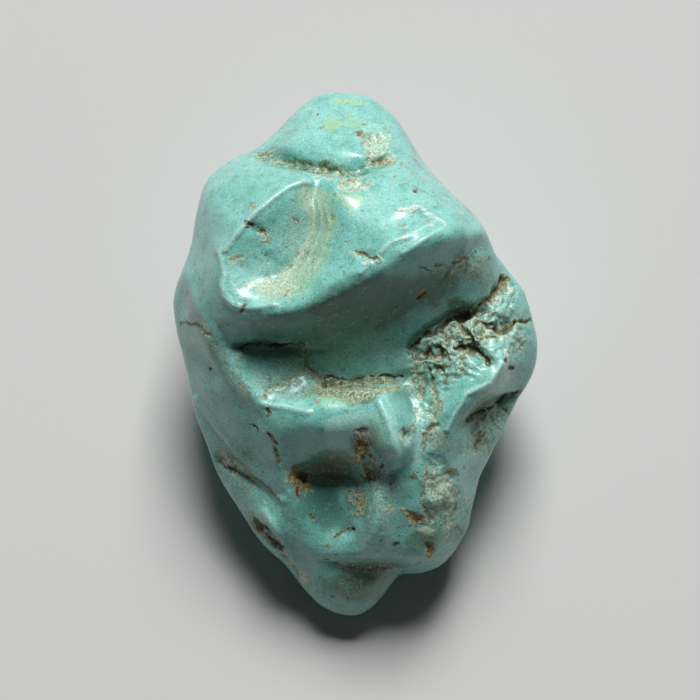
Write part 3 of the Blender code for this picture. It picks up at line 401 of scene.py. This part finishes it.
# How marks fade out: where they end and how long the fall takes, as shares of their reach
PATCH_FADE = {"edge": 1.3, "bank": 0.8}
GRIT_FADE = {"edge": 1.3, "bank": 0.6}
DUST_FADE = {"edge": 1.15, "bank": 1 / 1.4}
CRUMBLE_FADE = {"edge": 1.1, "bank": 1 / 1.6}
GROOVE_RIM = 0.4  # strength of the pale rim of a groove, as a share of its tint's
PIT_RIM = 0.5  # and of a pit
CLEAN_FILLS = ("bloom", "chalk", "pale")  # what fills a mark and leaves it smoother
GRIMY_SHADED_FILLS = ("olive", "dark")  # what gathers dark dirt, with painted shade, in its crevices
GROOVE_ROUGHNESS = (0.7, 0.35)  # how rough a groove is, and one with a clean fill
PIT_ROUGHNESS = (0.9, 0.4)
PATCH_ROUGHNESS = 0.6  # of a patch of matrix
WORN_AND_HIGHLIT_RISE = 0.15  # mm; a ridge this high is fully polished, and fully lightened as wear and painted highlight

SOFT_TINTS = ("deep_and_painted_shade", "bloom", "grey", "mauve", "moss", "cream", "green")
HARD_TINTS = ("pale", "chalk", "tan", "olive", "rust", "dark")
# How much of each tint is scattered through rough matrix
HAZE = {"pale": 0.56, "chalk": 0.34, "tan": 0.12, "olive": 0.42, "rust": 0.08, "dark": 0.3}

PIT_TINTS = ("dark", "rust", "olive", "dark", "tan")  # what fills the small scattered pits
PIT_SPACING = 1.7  # mm between them
PIT_REACH = 0.3  # the most of the spacing that one takes
PIT_CHANCE = (0.2, 0.2)  # the highest lot, from -1 to 1, that gets one on the face, and what the sides add
PIT_SIZE = (0.05, 0.13)  # the least share of the spacing, and what chance adds
PIT_EDGE = 1.2  # where one ends, as a share of its size
PIT_DEPTH = 0.09
PIT_LOT = 5.1  # spreads the places over the cells that their chance is drawn from
TINT_LOT = 50  # spreads the chance over the fills

# Sheets of matrix that run down through the stone and show on its sides and back:
# a point of the sheet, the way it runs, the way it dips, half width, depth, tint, strength, reach
SHEETS = {
    "rubble_sheet": ((8.0, 2.0, 9.0), (0.88, 0.47, 0.0), (0.25, -0.4, -0.9), 0.5, 0.5, "tan", 0.9, 9.0),
    "crown_sheet": ((-3.0, 12.6, 6.0), (0.97, -0.15, 0.0), (0.1, 0.35, -0.93), 0.35, 0.35, "tan", 0.8, 8.0),
    "keel_sheet": ((-9.0, -1.0, 5.0), (-0.5, 0.86, 0.0), (0.5, 0.2, -0.84), 0.3, 0.2, "mauve", 0.9, 10.0),
    "heel_sheet": ((4.0, -10.0, 4.0), (0.2, -0.98, 0.0), (-0.5, 0.1, -0.86), 0.35, 0.3, "tan", 0.8, 8.0),
}


def shade(name, description, default):
    """A colour that a user may change."""
    return FloatVectorProperty(name=name, description=description, default=default, subtype="COLOR")


class StoneSettings(bpy.types.PropertyGroup):
    """How finely the stone is cut, and its tints."""

    grain: FloatProperty(
        name="Grain", description="Size of the smallest mark that the cut keeps",
        default=0.12 * MM, unit="LENGTH",
    )
    facets: IntProperty(name="Facets", description="Triangles of the finished surface", default=196000)
    body: shade("Body", "Main blue-green of the stone", (0.185, 0.54, 0.475))
    # Partly painted highlight: body_light also lightens the raised crests, for the gleam of light on them as
    # well as their wear.
    body_light: shade("Light Body", "Chalky blue clouds and worn edges", (0.31, 0.68, 0.63))
    # Painted shade as well as a colour: deep darkens hollows and faces turned from the light, besides the
    # stone's own darker mottles.
    deep_and_painted_shade: shade("Deep", "Denser green of the hollows", (0.036, 0.148, 0.104))
    grey: shade("Grey", "Grey-green of dull patches", (0.29, 0.48, 0.38))
    mauve: shade("Mauve", "Purple-grey stain", (0.215, 0.235, 0.2))
    cream: shade("Cream", "Creamy bloom in the scoop", (0.35, 0.55, 0.4))
    # Painted light as well as bloom: this tint lightens faces turned from the light and every ridge, besides
    # the stone's real chalky bloom.
    bloom: shade("Bloom", "Chalky bloom on rubbed skin", (0.4, 0.74, 0.67))
    moss: shade("Moss", "Olive-green haze in and round the matrix", (0.13, 0.195, 0.1))
    green: shade("Green", "Yellow-green stain", (0.36, 0.6, 0.33))
    pale: shade("Pale", "Cream matrix", (0.5, 0.63, 0.45))
    chalk: shade("Chalk", "Near-white crumbs and chips", (0.74, 0.79, 0.67))
    tan: shade("Tan", "Sandy brown matrix", (0.56, 0.43, 0.135))
    olive: shade("Olive", "Olive matrix", (0.155, 0.145, 0.05))
    rust: shade("Rust", "Iron stain", (0.46, 0.24, 0.045))
    dark: shade("Dark", "Brown-black matrix", (0.045, 0.036, 0.022))


class StageSettings(bpy.types.PropertyGroup):
    """The floor, the light and the camera."""

    floor_colour: shade("Floor", "Colour of the plain floor", (0.6, 0.6, 0.59))
    floor_radius: FloatProperty(
        name="Floor Radius", description="Size of the floor", default=3.0, unit="LENGTH",
    )
    key_power: FloatProperty(
        name="Key Power", description="Power of the soft light", default=37.0, unit="POWER",
    )
    key_size: FloatProperty(
        name="Key Size", description="Side of the soft light", default=0.7, unit="LENGTH",
    )
    sky: FloatProperty(name="Sky", description="Strength of the even light from all round", default=0.035)


def read(values, attribute):
    """A vector attribute as an array with one row for each vertex."""
    flat = np.empty(len(values) * 3, np.float32)
    values.foreach_get(attribute, flat)
    return flat.reshape(-1, 3).astype(float)


def sample(function, places):
    """A noise function read at every place."""
    return np.array([function(place) for place in places.tolist()])


def wander(places, drifts):
    """The places moved about by smooth noises, each with how far it moves them and over what length."""
    for amount, length in drifts:
        places = places + amount * sample(noise.noise_vector, places / length)
    return places


def unevenness(places, waves, level=0):
    """Smooth noises on top of a level, each with its height and length."""
    return sum((height * sample(noise.noise, places / length) for height, length in waves), level)


def ease(share):
    """0 to 1 with a soft start and end."""
    share = np.clip(share, 0, 1)
    return share * share * (3 - 2 * share)


def within(reach, edge, bank=1.0):
    """1 inside a mark, falling to 0 where its reach comes to `edge`; the fall takes `bank` of the reach."""
    return ease((edge - reach) / bank)


def lift(values, spots, level):
    """Raises the values at the spots to at least this level."""
    values[spots] = np.maximum(values[spots], level)


def distance_to_line(points, line):
    """Distance of every point to a run of straight segments."""
    nearest = np.full(len(points), np.inf)
    corners = np.array(line, float)
    for start, end in zip(corners, corners[1:]):
        along = end - start
        share = np.clip((points - start) @ along / (along @ along), 0, 1)
        gap = np.linalg.norm(points - start - share[:, None] * along, axis=1)
        nearest = np.minimum(nearest, gap)
    return nearest


def reach_in_oval(points, x, y, half_length, half_width, turn):
    """0 at the middle of a turned oval and 1 on its edge."""
    offset = points - (x, y)
    cos, sin = math.cos(math.radians(turn)), math.sin(math.radians(turn))
    along = offset @ (cos, sin)
    across = offset @ (-sin, cos)
    return np.hypot(along / half_length, across / half_width)


def lump_gaps(places, size):
    """How far each place is from the gap between lumps of this size: 0 in the gap."""
    gaps = []
    for place in (places / size).tolist():
        nearest, next_nearest = noise.voronoi(place)[0][:2]
        gaps.append(next_nearest - nearest)
    return np.array(gaps)


class Marks:
    """How far in the stone is cut at each place, how rough it is there, and the strength of each tint."""

    def __init__(self, places, rise):
        self.places = places
        self.face = np.clip(rise / FACE_RISE, 0, 1)
        self.around = 1 - self.face
        self.bent = wander(places, FINE_WANDER)
        self.flat = self.bent[:, :2]
        self.loose = wander(self.bent, TORN_WANDER)[:, :2]
        self.ragged = np.clip(unevenness(places, WIDTH_WAVES, USUAL_WIDTH), *WIDTH_LIMITS)
        self.cut = np.zeros(len(places))
        self.rough = np.zeros(len(places))
        self.raised = np.zeros(len(places))
        self.dirt_and_shade = np.zeros(len(places))
        self.swell = unevenness(places, SWELLS)
        self.tints = {name: np.zeros(len(places)) for name in SOFT_TINTS + HARD_TINTS}

    def deepen(self, amount):
        self.cut = np.maximum(self.cut, amount)

    def heighten(self, amount):
        self.raised = np.maximum(self.raised, amount)

    def roughen(self, amount):
        self.rough = np.maximum(self.rough, amount)

    def tint(self, name, amount):
        self.tints[name] = np.maximum(self.tints[name], amount)

    def fissures(self):
        for half_width, depth, tint, strength, line in FISSURES.values():
            reach = distance_to_line(self.flat, line) / (half_width * self.ragged)
            self.deepen(depth * self.face * within(reach, edge=1.2))
            self.tint(tint, strength * self.face * within(reach, edge=1.4))
            self.tint("pale", GROOVE_RIM * strength * self.face * within(reach, edge=2.6))
            self.roughen(GROOVE_ROUGHNESS[tint in CLEAN_FILLS] * self.face * within(reach, edge=2))
            if tint in GRIMY_SHADED_FILLS:
                self.dirt_and_shade = np.maximum(self.dirt_and_shade, self.face * within(reach, edge=1.6))

    def pits(self):
        for x, y, half_length, half_width, turn, depth, tint, strength in PITS.values():
            reach = reach_in_oval(self.flat, x, y, half_length, half_width, turn) / self.ragged
            relief = depth * self.face * within(reach, edge=1.1, bank=0.5)
            if depth > 0:
                self.deepen(relief)
            else:
                self.heighten(-relief)
            self.tint(tint, strength * self.face * within(reach, edge=1.25, bank=0.5))
            self.tint("pale", PIT_RIM * strength * self.face * within(reach, edge=1.6, bank=0.5))
            self.roughen(PIT_ROUGHNESS[tint in CLEAN_FILLS] * self.face * within(reach, edge=1.4, bank=0.4))

    def crests(self):
        for half_width, height, line in CRESTS.values():
            reach = distance_to_line(self.places[:, :2], line) / half_width
            self.heighten(height * self.face * within(reach, edge=1))

    def cover(self, ovals, edge, bank):
        """How strongly turned ovals cover the face; the wider one is, the more its outline is torn."""
        covered = np.zeros(len(self.places))
        for x, y, half_length, half_width, turn, strength in ovals:
            places = self.loose if half_width > WIDE_PATCH else self.flat
            reach = reach_in_oval(places, x, y, half_length, half_width, turn)
            covered = np.maximum(covered, strength * self.face * within(reach, edge, bank))
        return covered

    def patches(self):
        for tint, ovals in PATCHES.items():
            self.tint(tint, self.cover(ovals, **PATCH_FADE))
            if tint in HARD_TINTS:
                self.roughen(PATCH_ROUGHNESS * self.cover(ovals, **GRIT_FADE))
        for tint, bands in BANDS.items():
            for half_width, strength, line in bands:
                reach = distance_to_line(self.flat, line) / half_width
                self.tint(tint, strength * self.face * within(reach, **PATCH_FADE))

    def crumble(self, spread):
        """Breaks the surface into lumps where `spread` isn't 0."""
        spots = np.flatnonzero(spread)
        share = spread[spots]
        lump, gap = LUMP_ROUGHNESS
        for size, depth in LUMPS:
            trench = ease(1 - lump_gaps(self.bent[spots], size) / GAP_WIDTH)
            self.cut[spots] += depth * share * trench
            lift(self.tints["olive"], spots, GAP_OLIVE * share * trench)
            lift(self.rough, spots, share * (lump + gap * trench))
        crags = np.abs(sample(noise.noise, self.bent[spots] * CRAGS_TO_MM))
        pebbles = sample(noise.noise, self.places[spots] / PEBBLE_SIZE)
        self.cut[spots] += share * (PEBBLE_HEIGHT * pebbles - CRAG_DEPTH * (CRAG_WIDTH - crags).clip(0))
        lift(self.dirt_and_shade, spots, CRUMBLE_DIRT_AND_SHADE * share)

    def sheets(self):
        """The sheets' edges on the sides and the back, crumbled where they are widest."""
        loose = wander(self.places, SHEET_WANDER)
        spread = np.zeros(len(self.places))
        for point, run, dip, half_width, depth, tint, strength, reach_limit in SHEETS.values():
            across = Vector(run).cross(Vector(dip)).normalized()
            offset = loose - point
            fade = self.around * within(np.linalg.norm(offset, axis=1) / reach_limit, edge=1, bank=0.5)
            reach = np.abs(offset @ across) / (half_width * self.ragged)
            self.deepen(depth * fade * within(reach, edge=1))
            self.tint(tint, strength * fade * within(reach, edge=1.6))
            self.roughen(fade * within(reach, edge=1.8))
            spread = np.maximum(spread, SHEET_CRUMBLE * fade * within(reach, edge=3.64, bank=2.6))
        self.crumble(spread)

    def scattered_pits(self):
        """Small pits and specks of matrix, sparse on the face and commoner round the sides and back."""
        on_face, round_sides = PIT_CHANCE
        least, more = PIT_SIZE
        for i, place in enumerate((self.bent / PIT_SPACING).tolist()):
            distances, centres = noise.voronoi(place)
            chance = noise.cell(centres[0] * PIT_LOT)
            if distances[0] > PIT_REACH or chance > on_face + round_sides * self.around[i]:
                continue
            reach = distances[0] / ((least + more * abs(chance)) * self.ragged[i])
            share = min(1.0, max(0.0, PIT_EDGE - reach))
            self.cut[i] = max(self.cut[i], PIT_DEPTH * share)
            tint = self.tints[PIT_TINTS[int(abs(chance) * TINT_LOT) % len(PIT_TINTS)]]
            tint[i] = max(tint[i], share)


def stone_marks(places, normals):
    noise.seed_set(NOISE_SEED)
    marks = Marks(places, normals[:, 2])
    marks.fissures()
    marks.pits()
    marks.crests()
    marks.patches()
    marks.roughen(marks.cover(GRITTY, **DUST_FADE))
    marks.crumble(marks.cover(CRUMBLES.values(), **CRUMBLE_FADE))
    marks.sheets()
    marks.scattered_pits()
    return marks


def apply_modifiers(obj):
    graph = bpy.context.evaluated_depsgraph_get()
    worked = bpy.data.meshes.new_from_object(obj.evaluated_get(graph))
    obj.modifiers.clear()
    obj.data = worked


def add_smooth(obj, factor, passes):
    smooth = obj.modifiers.new("smooth", "SMOOTH")
    smooth.factor = factor
    smooth.iterations = passes


def refine(obj, grain):
    """Joins the solid's facets at their corners, rounds them and cuts them into an even fine grid."""
    joined = obj.modifiers.new("joined", "WELD")
    joined.merge_threshold = SAME_CORNER
    rounded = obj.modifiers.new("rounded", "SUBSURF")
    rounded.levels = 1
    remesh = obj.modifiers.new("grid", "REMESH")
    remesh.mode = "VOXEL"
    remesh.voxel_size = grain
    add_smooth(obj, factor=0.5, passes=12)
    apply_modifiers(obj)


def neighbour_average(mesh, values, passes):
    """The values spread out along the mesh's edges."""
    edges = np.empty(len(mesh.edges) * 2, np.int32)
    mesh.edges.foreach_get("vertices", edges)
    near, far = edges.reshape(-1, 2).T
    count = len(mesh.vertices)
    shares = np.bincount(near, minlength=count) + np.bincount(far, minlength=count)
    for _ in range(passes):
        total = np.bincount(near, values[far], count) + np.bincount(far, values[near], count)
        values = 0.5 * values + 0.5 * total / shares
    return values


def hollowness(mesh, places, normals, passes, depth):
    """1 in a hollow of this depth or more, 0.5 on the flat, and 0 on a ridge."""
    spread = np.stack([neighbour_average(mesh, places[:, axis], passes) for axis in range(3)], axis=1)
    sunk = np.einsum("ij,ij->i", spread - places, normals)
    return np.clip(0.5 + 0.5 * sunk / depth, 0, 1)


def store(mesh, name, values):
    mesh.attributes.new(name, "FLOAT", "POINT").data.foreach_set("value", values.astype(np.float32))


def move(mesh, places):
    mesh.vertices.foreach_set("co", places.astype(np.float32).ravel())
    mesh.update()


def sculpt(obj):
    """Cuts the marks and stores the masks that the material reads."""
    mesh = obj.data
    places = read(mesh.vertices, "co")
    normals = read(mesh.vertex_normals, "vector")
    marks = stone_marks(places, normals)
    cut = places + normals * (marks.swell + marks.raised - marks.cut)[:, None]
    move(mesh, cut)
    for name, mask in marks.tints.items():
        store(mesh, name, mask)
    store(mesh, "rough", marks.rough)
    store(mesh, "dirt_and_shade", marks.dirt_and_shade)
    # The raised crests, which the material lightens as wear and as painted highlight.
    store(mesh, "worn_and_highlit", np.clip(marks.raised / WORN_AND_HIGHLIT_RISE, 0, 1))
    cut_normals = read(mesh.vertex_normals, "vector")
    # crevice and hollow measure the shape; the material turns them into painted shade in crevices and
    # hollows and painted highlight on ridges.
    store(mesh, "crevice", hollowness(mesh, cut, cut_normals, passes=12, depth=0.1))
    store(mesh, "hollow", hollowness(mesh, cut, cut_normals, passes=120, depth=0.35))


def thin_out(obj, facets):
    """Settles the cut edges and keeps only as many facets as the surface needs."""
    add_smooth(obj, factor=0.3, passes=1)
    coarse = obj.modifiers.new("facets", "DECIMATE")
    coarse.ratio = facets / (2 * len(obj.data.polygons))
    apply_modifiers(obj)


def keep_inside(mesh, box):
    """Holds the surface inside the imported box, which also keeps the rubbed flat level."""
    move(mesh, np.clip(read(mesh.vertices, "co"), box[0], box[1]))


def shaped_stone(settings):
    """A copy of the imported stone, worked in the face's frame and set back in its place."""
    to_face = Matrix.Translation(FOOT) @ Matrix.Rotation(-FACE_LEAN, 4, "X") @ Matrix.Scale(1 / MM, 4)
    stone = bpy.data.objects.new("turquoise_stone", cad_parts["nugget"].data.copy())
    bpy.context.scene.collection.objects.link(stone)
    stone.data.transform(to_face)
    refine(stone, settings.grain / MM)
    sculpt(stone)
    thin_out(stone, settings.facets)
    stone.data.transform(to_face.inverted())
    keep_inside(stone.data, cad_box)
    stone.data.shade_smooth()
    return stone


def arithmetic(operation):
    """The method for an operator and its reflected form, as a pair."""
    return (lambda value, other: value.math(operation, value, other),
            lambda value, other: value.math(operation, other, value))


class Value:
    """A number or colour that varies over the surface. Arithmetic on a number adds Math nodes."""

    __add__, __radd__ = arithmetic("ADD")
    __sub__, __rsub__ = arithmetic("SUBTRACT")
    __mul__, __rmul__ = arithmetic("MULTIPLY")

    def __init__(self, recipe, socket):
        self.recipe = recipe
        self.socket = socket

    def math(self, operation, first, second):
        sockets = {"Value": first, "Value_001": second}
        return self.recipe.node("ShaderNodeMath", {"operation": operation}, sockets, "Value")

    def above(self, low, high):
        """0 below `low`, 1 above `high`, and eased between them."""
        settings = {"interpolation_type": "SMOOTHSTEP"}
        sockets = {"Value": self, "From Min": low, "From Max": high}
        return self.recipe.node("ShaderNodeMapRange", settings, sockets, "Result")


class Recipe:
    """A material's nodes, made one call at a time."""

    def __init__(self, name):
        self.material = bpy.data.materials.new(name)
        self.material.use_nodes = True
        self.tree = self.material.node_tree
        self.shader = self.tree.nodes["Principled BSDF"]

    def feed(self, node, key, value):
        """Links what varies to the socket, and sets a constant on it."""
        socket = next(s for s in node.inputs if s.identifier == key)
        if isinstance(value, Value):
            self.tree.links.new(value.socket, socket)
        else:
            socket.default_value = value

    def node(self, kind, settings, sockets, output):
        """A node with its settings made first, then its sockets, by identifier: the named output."""
        node = self.tree.nodes.new(kind)
        for name, setting in settings.items():
            setattr(node, name, setting)
        for key, value in sockets.items():
            self.feed(node, key, value)
        return Value(self, next(s for s in node.outputs if s.identifier == output))

    def vector(self, operation, **sockets):
        return self.node("ShaderNodeVectorMath", {"operation": operation}, sockets, "Vector")

    def place(self):
        """The place on the stone, in millimetres."""
        return self.vector("SCALE", Vector=self.node("ShaderNodeTexCoord", {}, {}, "Object"), Scale=1 / MM)

    def shifted(self, place, amount):
        """The place moved, so that the same noise falls elsewhere."""
        return self.vector("ADD", Vector=place, Vector_001=(amount, amount, amount))

    def mask(self, name):
        settings = {"attribute_type": "GEOMETRY", "attribute_name": name}
        return self.node("ShaderNodeAttribute", settings, {}, "Fac")

    def cloud(self, place, size, detail, roughness=0.5):
        """Noise whose blotches are about `size` millimetres across, from 0 to 1."""
        sockets = {"Vector": place, "Scale": 1 / size, "Detail": detail, "Roughness": roughness}
        return self.node("ShaderNodeTexNoise", {}, sockets, "Fac")

    def blend(self, share, first, second):
        """Colours mixed: the first where `share` is 0 and the second where it is 1."""
        sockets = {"Factor_Float": share, "A_Color": first, "B_Color": second}
        return self.node("ShaderNodeMix", {"data_type": "RGBA"}, sockets, "Result_Color")


def colour(setting):
    """A setting's colour with the fourth channel that a socket takes."""
    return (*setting, 1.0)


def skin_layers(recipe, place, mottle, rough):
    """Clouded and mottled skin, with painted shade in the hollows and crests lightened partly as painted
    highlight: the share of each layer and its tint, from the bottom up.
    """
    clouds = recipe.cloud(place, size=4.5, detail=3.0)
    drawn = recipe.vector("MULTIPLY", Vector=place, Vector_001=(1.0, 0.35, 0.6))
    streaks = recipe.cloud(drawn, size=0.3, detail=4.0, roughness=0.7)
    return [
        (clouds.above(0.3, 0.7) * 0.5, "body_light"),
        (mottle.above(0.45, 0.7) * 0.5, "body_light"),
        (mottle.above(0.5, 0.3) * 0.33, "deep_and_painted_shade"),
        (streaks.above(0.56, 0.72) * (0.2 + rough * 0.5), "bloom"),
        (streaks.above(0.44, 0.3) * (0.15 + rough * 0.5), "moss"),
        # Painted shade: the hollows are darkened with deep.
        (recipe.mask("hollow").above(0.52, 0.9) * 0.85, "deep_and_painted_shade"),
        # Partly painted highlight: raised crests are lightened for wear and for the gleam of light on them.
        (recipe.mask("worn_and_highlit") * 0.5, "body_light"),
    ]


def stain_shade_and_light_layers(recipe, mottle):
    """Soft stains, and patches of painted shade and painted light, which the mottling breaks up."""
    return [
        ((recipe.mask(name) + (mottle - 0.5) * 0.9).above(0.1, 1.0) * 0.85, name) for name in SOFT_TINTS
    ]


def matrix_layers(recipe, place, mottle, edge, rough):
    """Olive haze, then hard grains of matrix with ragged edges, each tint with a grit of its own."""
    haze = (rough + (edge - 0.5) * 1.2 + (mottle - 0.5) * 0.8).above(0.15, 0.95)
    layers = [(haze * 0.6, "moss")]
    for order, name in enumerate(HARD_TINTS):
        grit = recipe.cloud(recipe.shifted(place, 31.0 + 17.0 * order), size=0.22, detail=3.0, roughness=0.8)
        reach = recipe.mask(name) * 0.65 + rough * HAZE[name] + (grit - 0.5) * 2.4 + (edge - 0.5) * 0.5
        layers.append((reach.above(0.38, 0.6) * 0.8, name))
    return layers


def speck_shade_and_highlight_layers(recipe, place, rough):
    """Specks; dirt and painted shade in the crevices; painted highlight on the ridges, which in rough matrix
    also turn pale.
    """
    crevice = recipe.mask("crevice")
    specks = recipe.cloud(recipe.shifted(place, 11.0), size=0.45, detail=2.0, roughness=0.7)
    # Painted highlight: every ridge is lightened with bloom, and in rough matrix also with pale.
    ridge = crevice.above(0.46, 0.1)
    return [
        (specks.above(0.62, 0.68) * 0.5, "olive"),
        (specks.above(0.37, 0.31) * 0.5, "pale"),
        # Dirt and painted shade: olive and dark are laid in the crevices, darker the deeper they are.
        (crevice.above(0.58, 0.9) * rough * 0.8, "olive"),
        (crevice.above(0.75, 1.0) * recipe.mask("dirt_and_shade") * 0.6, "dark"),
        (ridge * 0.5, "bloom"),
        (ridge * rough * 0.7, "pale"),
    ]


def turquoise(settings):
    """Tumbled turquoise: waxy and mottled, with dull grainy matrix in its pits."""
    recipe = Recipe("turquoise")
    place = recipe.place()
    mottle = recipe.cloud(place, size=1.1, detail=5.0, roughness=0.65)
    grain = recipe.cloud(place, size=0.14, detail=3.0, roughness=0.7)
    edge = recipe.cloud(place, size=0.5, detail=4.0, roughness=0.8)
    rough = recipe.mask("rough")
    layers = skin_layers(recipe, place, mottle, rough) + stain_shade_and_light_layers(recipe, mottle)
    layers += matrix_layers(recipe, place, mottle, edge, rough) + speck_shade_and_highlight_layers(recipe, place, rough)
    skin = colour(settings.body)
    for share, tint in layers:
        skin = recipe.blend(share, skin, colour(getattr(settings, tint)))
    skin = recipe.vector("SCALE", Vector=skin, Scale=1 + (grain - 0.5) * (1.1 + rough * 1.7))

    recipe.feed(recipe.shader, "Base Color", skin)
    recipe.feed(recipe.shader, "Roughness", 0.2 + rough * 0.45 + grain * 0.2)
    recipe.feed(recipe.shader, "Coat Weight", (1 - rough) * 0.5)
    recipe.feed(recipe.shader, "Coat Roughness", 0.13)
    height = grain * 0.7 + mottle * 0.8 + edge * rough * 2.4
    sockets = {"Strength": 0.5, "Distance": 0.1 * MM, "Height": height}
    recipe.feed(recipe.shader, "Normal", recipe.node("ShaderNodeBump", {}, sockets, "Normal"))
    return recipe.material


class NUGGET_OT_stone(bpy.types.Operator):
    """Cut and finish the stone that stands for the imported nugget"""

    bl_idname = "nugget.stone"
    bl_label = "Stone"

    def execute(self, context):
        settings = context.scene.nugget_stone
        stone = shaped_stone(settings)
        stone.data.materials.clear()
        stone.data.materials.append(turquoise(settings))
        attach(stone, "root")
        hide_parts("nugget")
        return {"FINISHED"}


def add_floor(settings):
    mesh = bpy.data.meshes.new("floor")
    reach = settings.floor_radius
    corners = [(-reach, -reach, 0), (reach, -reach, 0), (reach, reach, 0), (-reach, reach, 0)]
    mesh.from_pydata(corners, [], [(0, 1, 2, 3)])
    recipe = Recipe("floor")
    recipe.feed(recipe.shader, "Base Color", colour(settings.floor_colour))
    recipe.feed(recipe.shader, "Roughness", 0.7)
    mesh.materials.append(recipe.material)
    floor = bpy.data.objects.new("floor", mesh)
    bpy.context.scene.collection.objects.link(floor)


def aim(obj, place, target):
    """Puts a light or the camera at a place and points it at the target."""
    obj.location = place
    obj.rotation_euler = (target - place).to_track_quat("-Z", "Y").to_euler()
    bpy.context.scene.collection.objects.link(obj)


def add_key_light(settings, target):
    light = bpy.data.lights.new("key", "AREA")
    light.energy = settings.key_power
    light.size = settings.key_size
    aim(bpy.data.objects.new("key", light), KEY_PLACE, target)


def add_sky(strength):
    world = bpy.data.worlds.new("sky")
    world.use_nodes = True
    background = world.node_tree.nodes["Background"]
    background.inputs["Color"].default_value = (1.0, 1.0, 1.0, 1.0)
    background.inputs["Strength"].default_value = strength
    bpy.context.scene.world = world


def add_camera(target):
    camera = bpy.data.cameras.new("camera")
    camera.lens = camera.sensor_width * CAMERA_REACH / VIEW_WIDTH
    away = Vector((0, -math.cos(CAMERA_LIFT), math.sin(CAMERA_LIFT)))
    seen_from = bpy.data.objects.new("camera", camera)
    aim(seen_from, target + away * CAMERA_REACH * MM, target)
    bpy.context.scene.camera = seen_from


class NUGGET_OT_stage(bpy.types.Operator):
    """Set the floor, the light, the sky and the camera"""

    bl_idname = "nugget.stage"
    bl_label = "Stage"

    def execute(self, context):
        settings = context.scene.nugget_stage
        target = Matrix.Rotation(FACE_LEAN, 3, "X") @ (CAMERA_AIM - FOOT) * MM
        add_floor(settings)
        add_key_light(settings, target)
        add_sky(settings.sky)
        add_camera(target)
        context.scene.view_settings.view_transform = "Standard"
        return {"FINISHED"}


class NUGGET_PT_panel(bpy.types.Panel):
    """The nugget's operators and settings"""

    bl_idname = "NUGGET_PT_panel"
    bl_label = "Turquoise Nugget"
    bl_space_type = "VIEW_3D"
    bl_region_type = "UI"
    bl_category = "Nugget"

    def draw(self, context):
        for operator, settings in (("nugget.stone", "nugget_stone"), ("nugget.stage", "nugget_stage")):
            self.layout.operator(operator)
            group = getattr(context.scene, settings)
            for name in group.bl_rna.properties.keys():
                if name not in ("rna_type", "name"):
                    self.layout.prop(group, name)


CLASSES = (StoneSettings, StageSettings, NUGGET_OT_stone, NUGGET_OT_stage, NUGGET_PT_panel)


def register():
    for cls in CLASSES:
        bpy.utils.register_class(cls)
    bpy.types.Scene.nugget_stone = PointerProperty(type=StoneSettings)
    bpy.types.Scene.nugget_stage = PointerProperty(type=StageSettings)


def unregister():
    del bpy.types.Scene.nugget_stage
    del bpy.types.Scene.nugget_stone
    for cls in reversed(CLASSES):
        bpy.utils.unregister_class(cls)


def main():
    register()
    bpy.ops.nugget.stone()
    bpy.ops.nugget.stage()


if __name__ == "__main__":
    main()
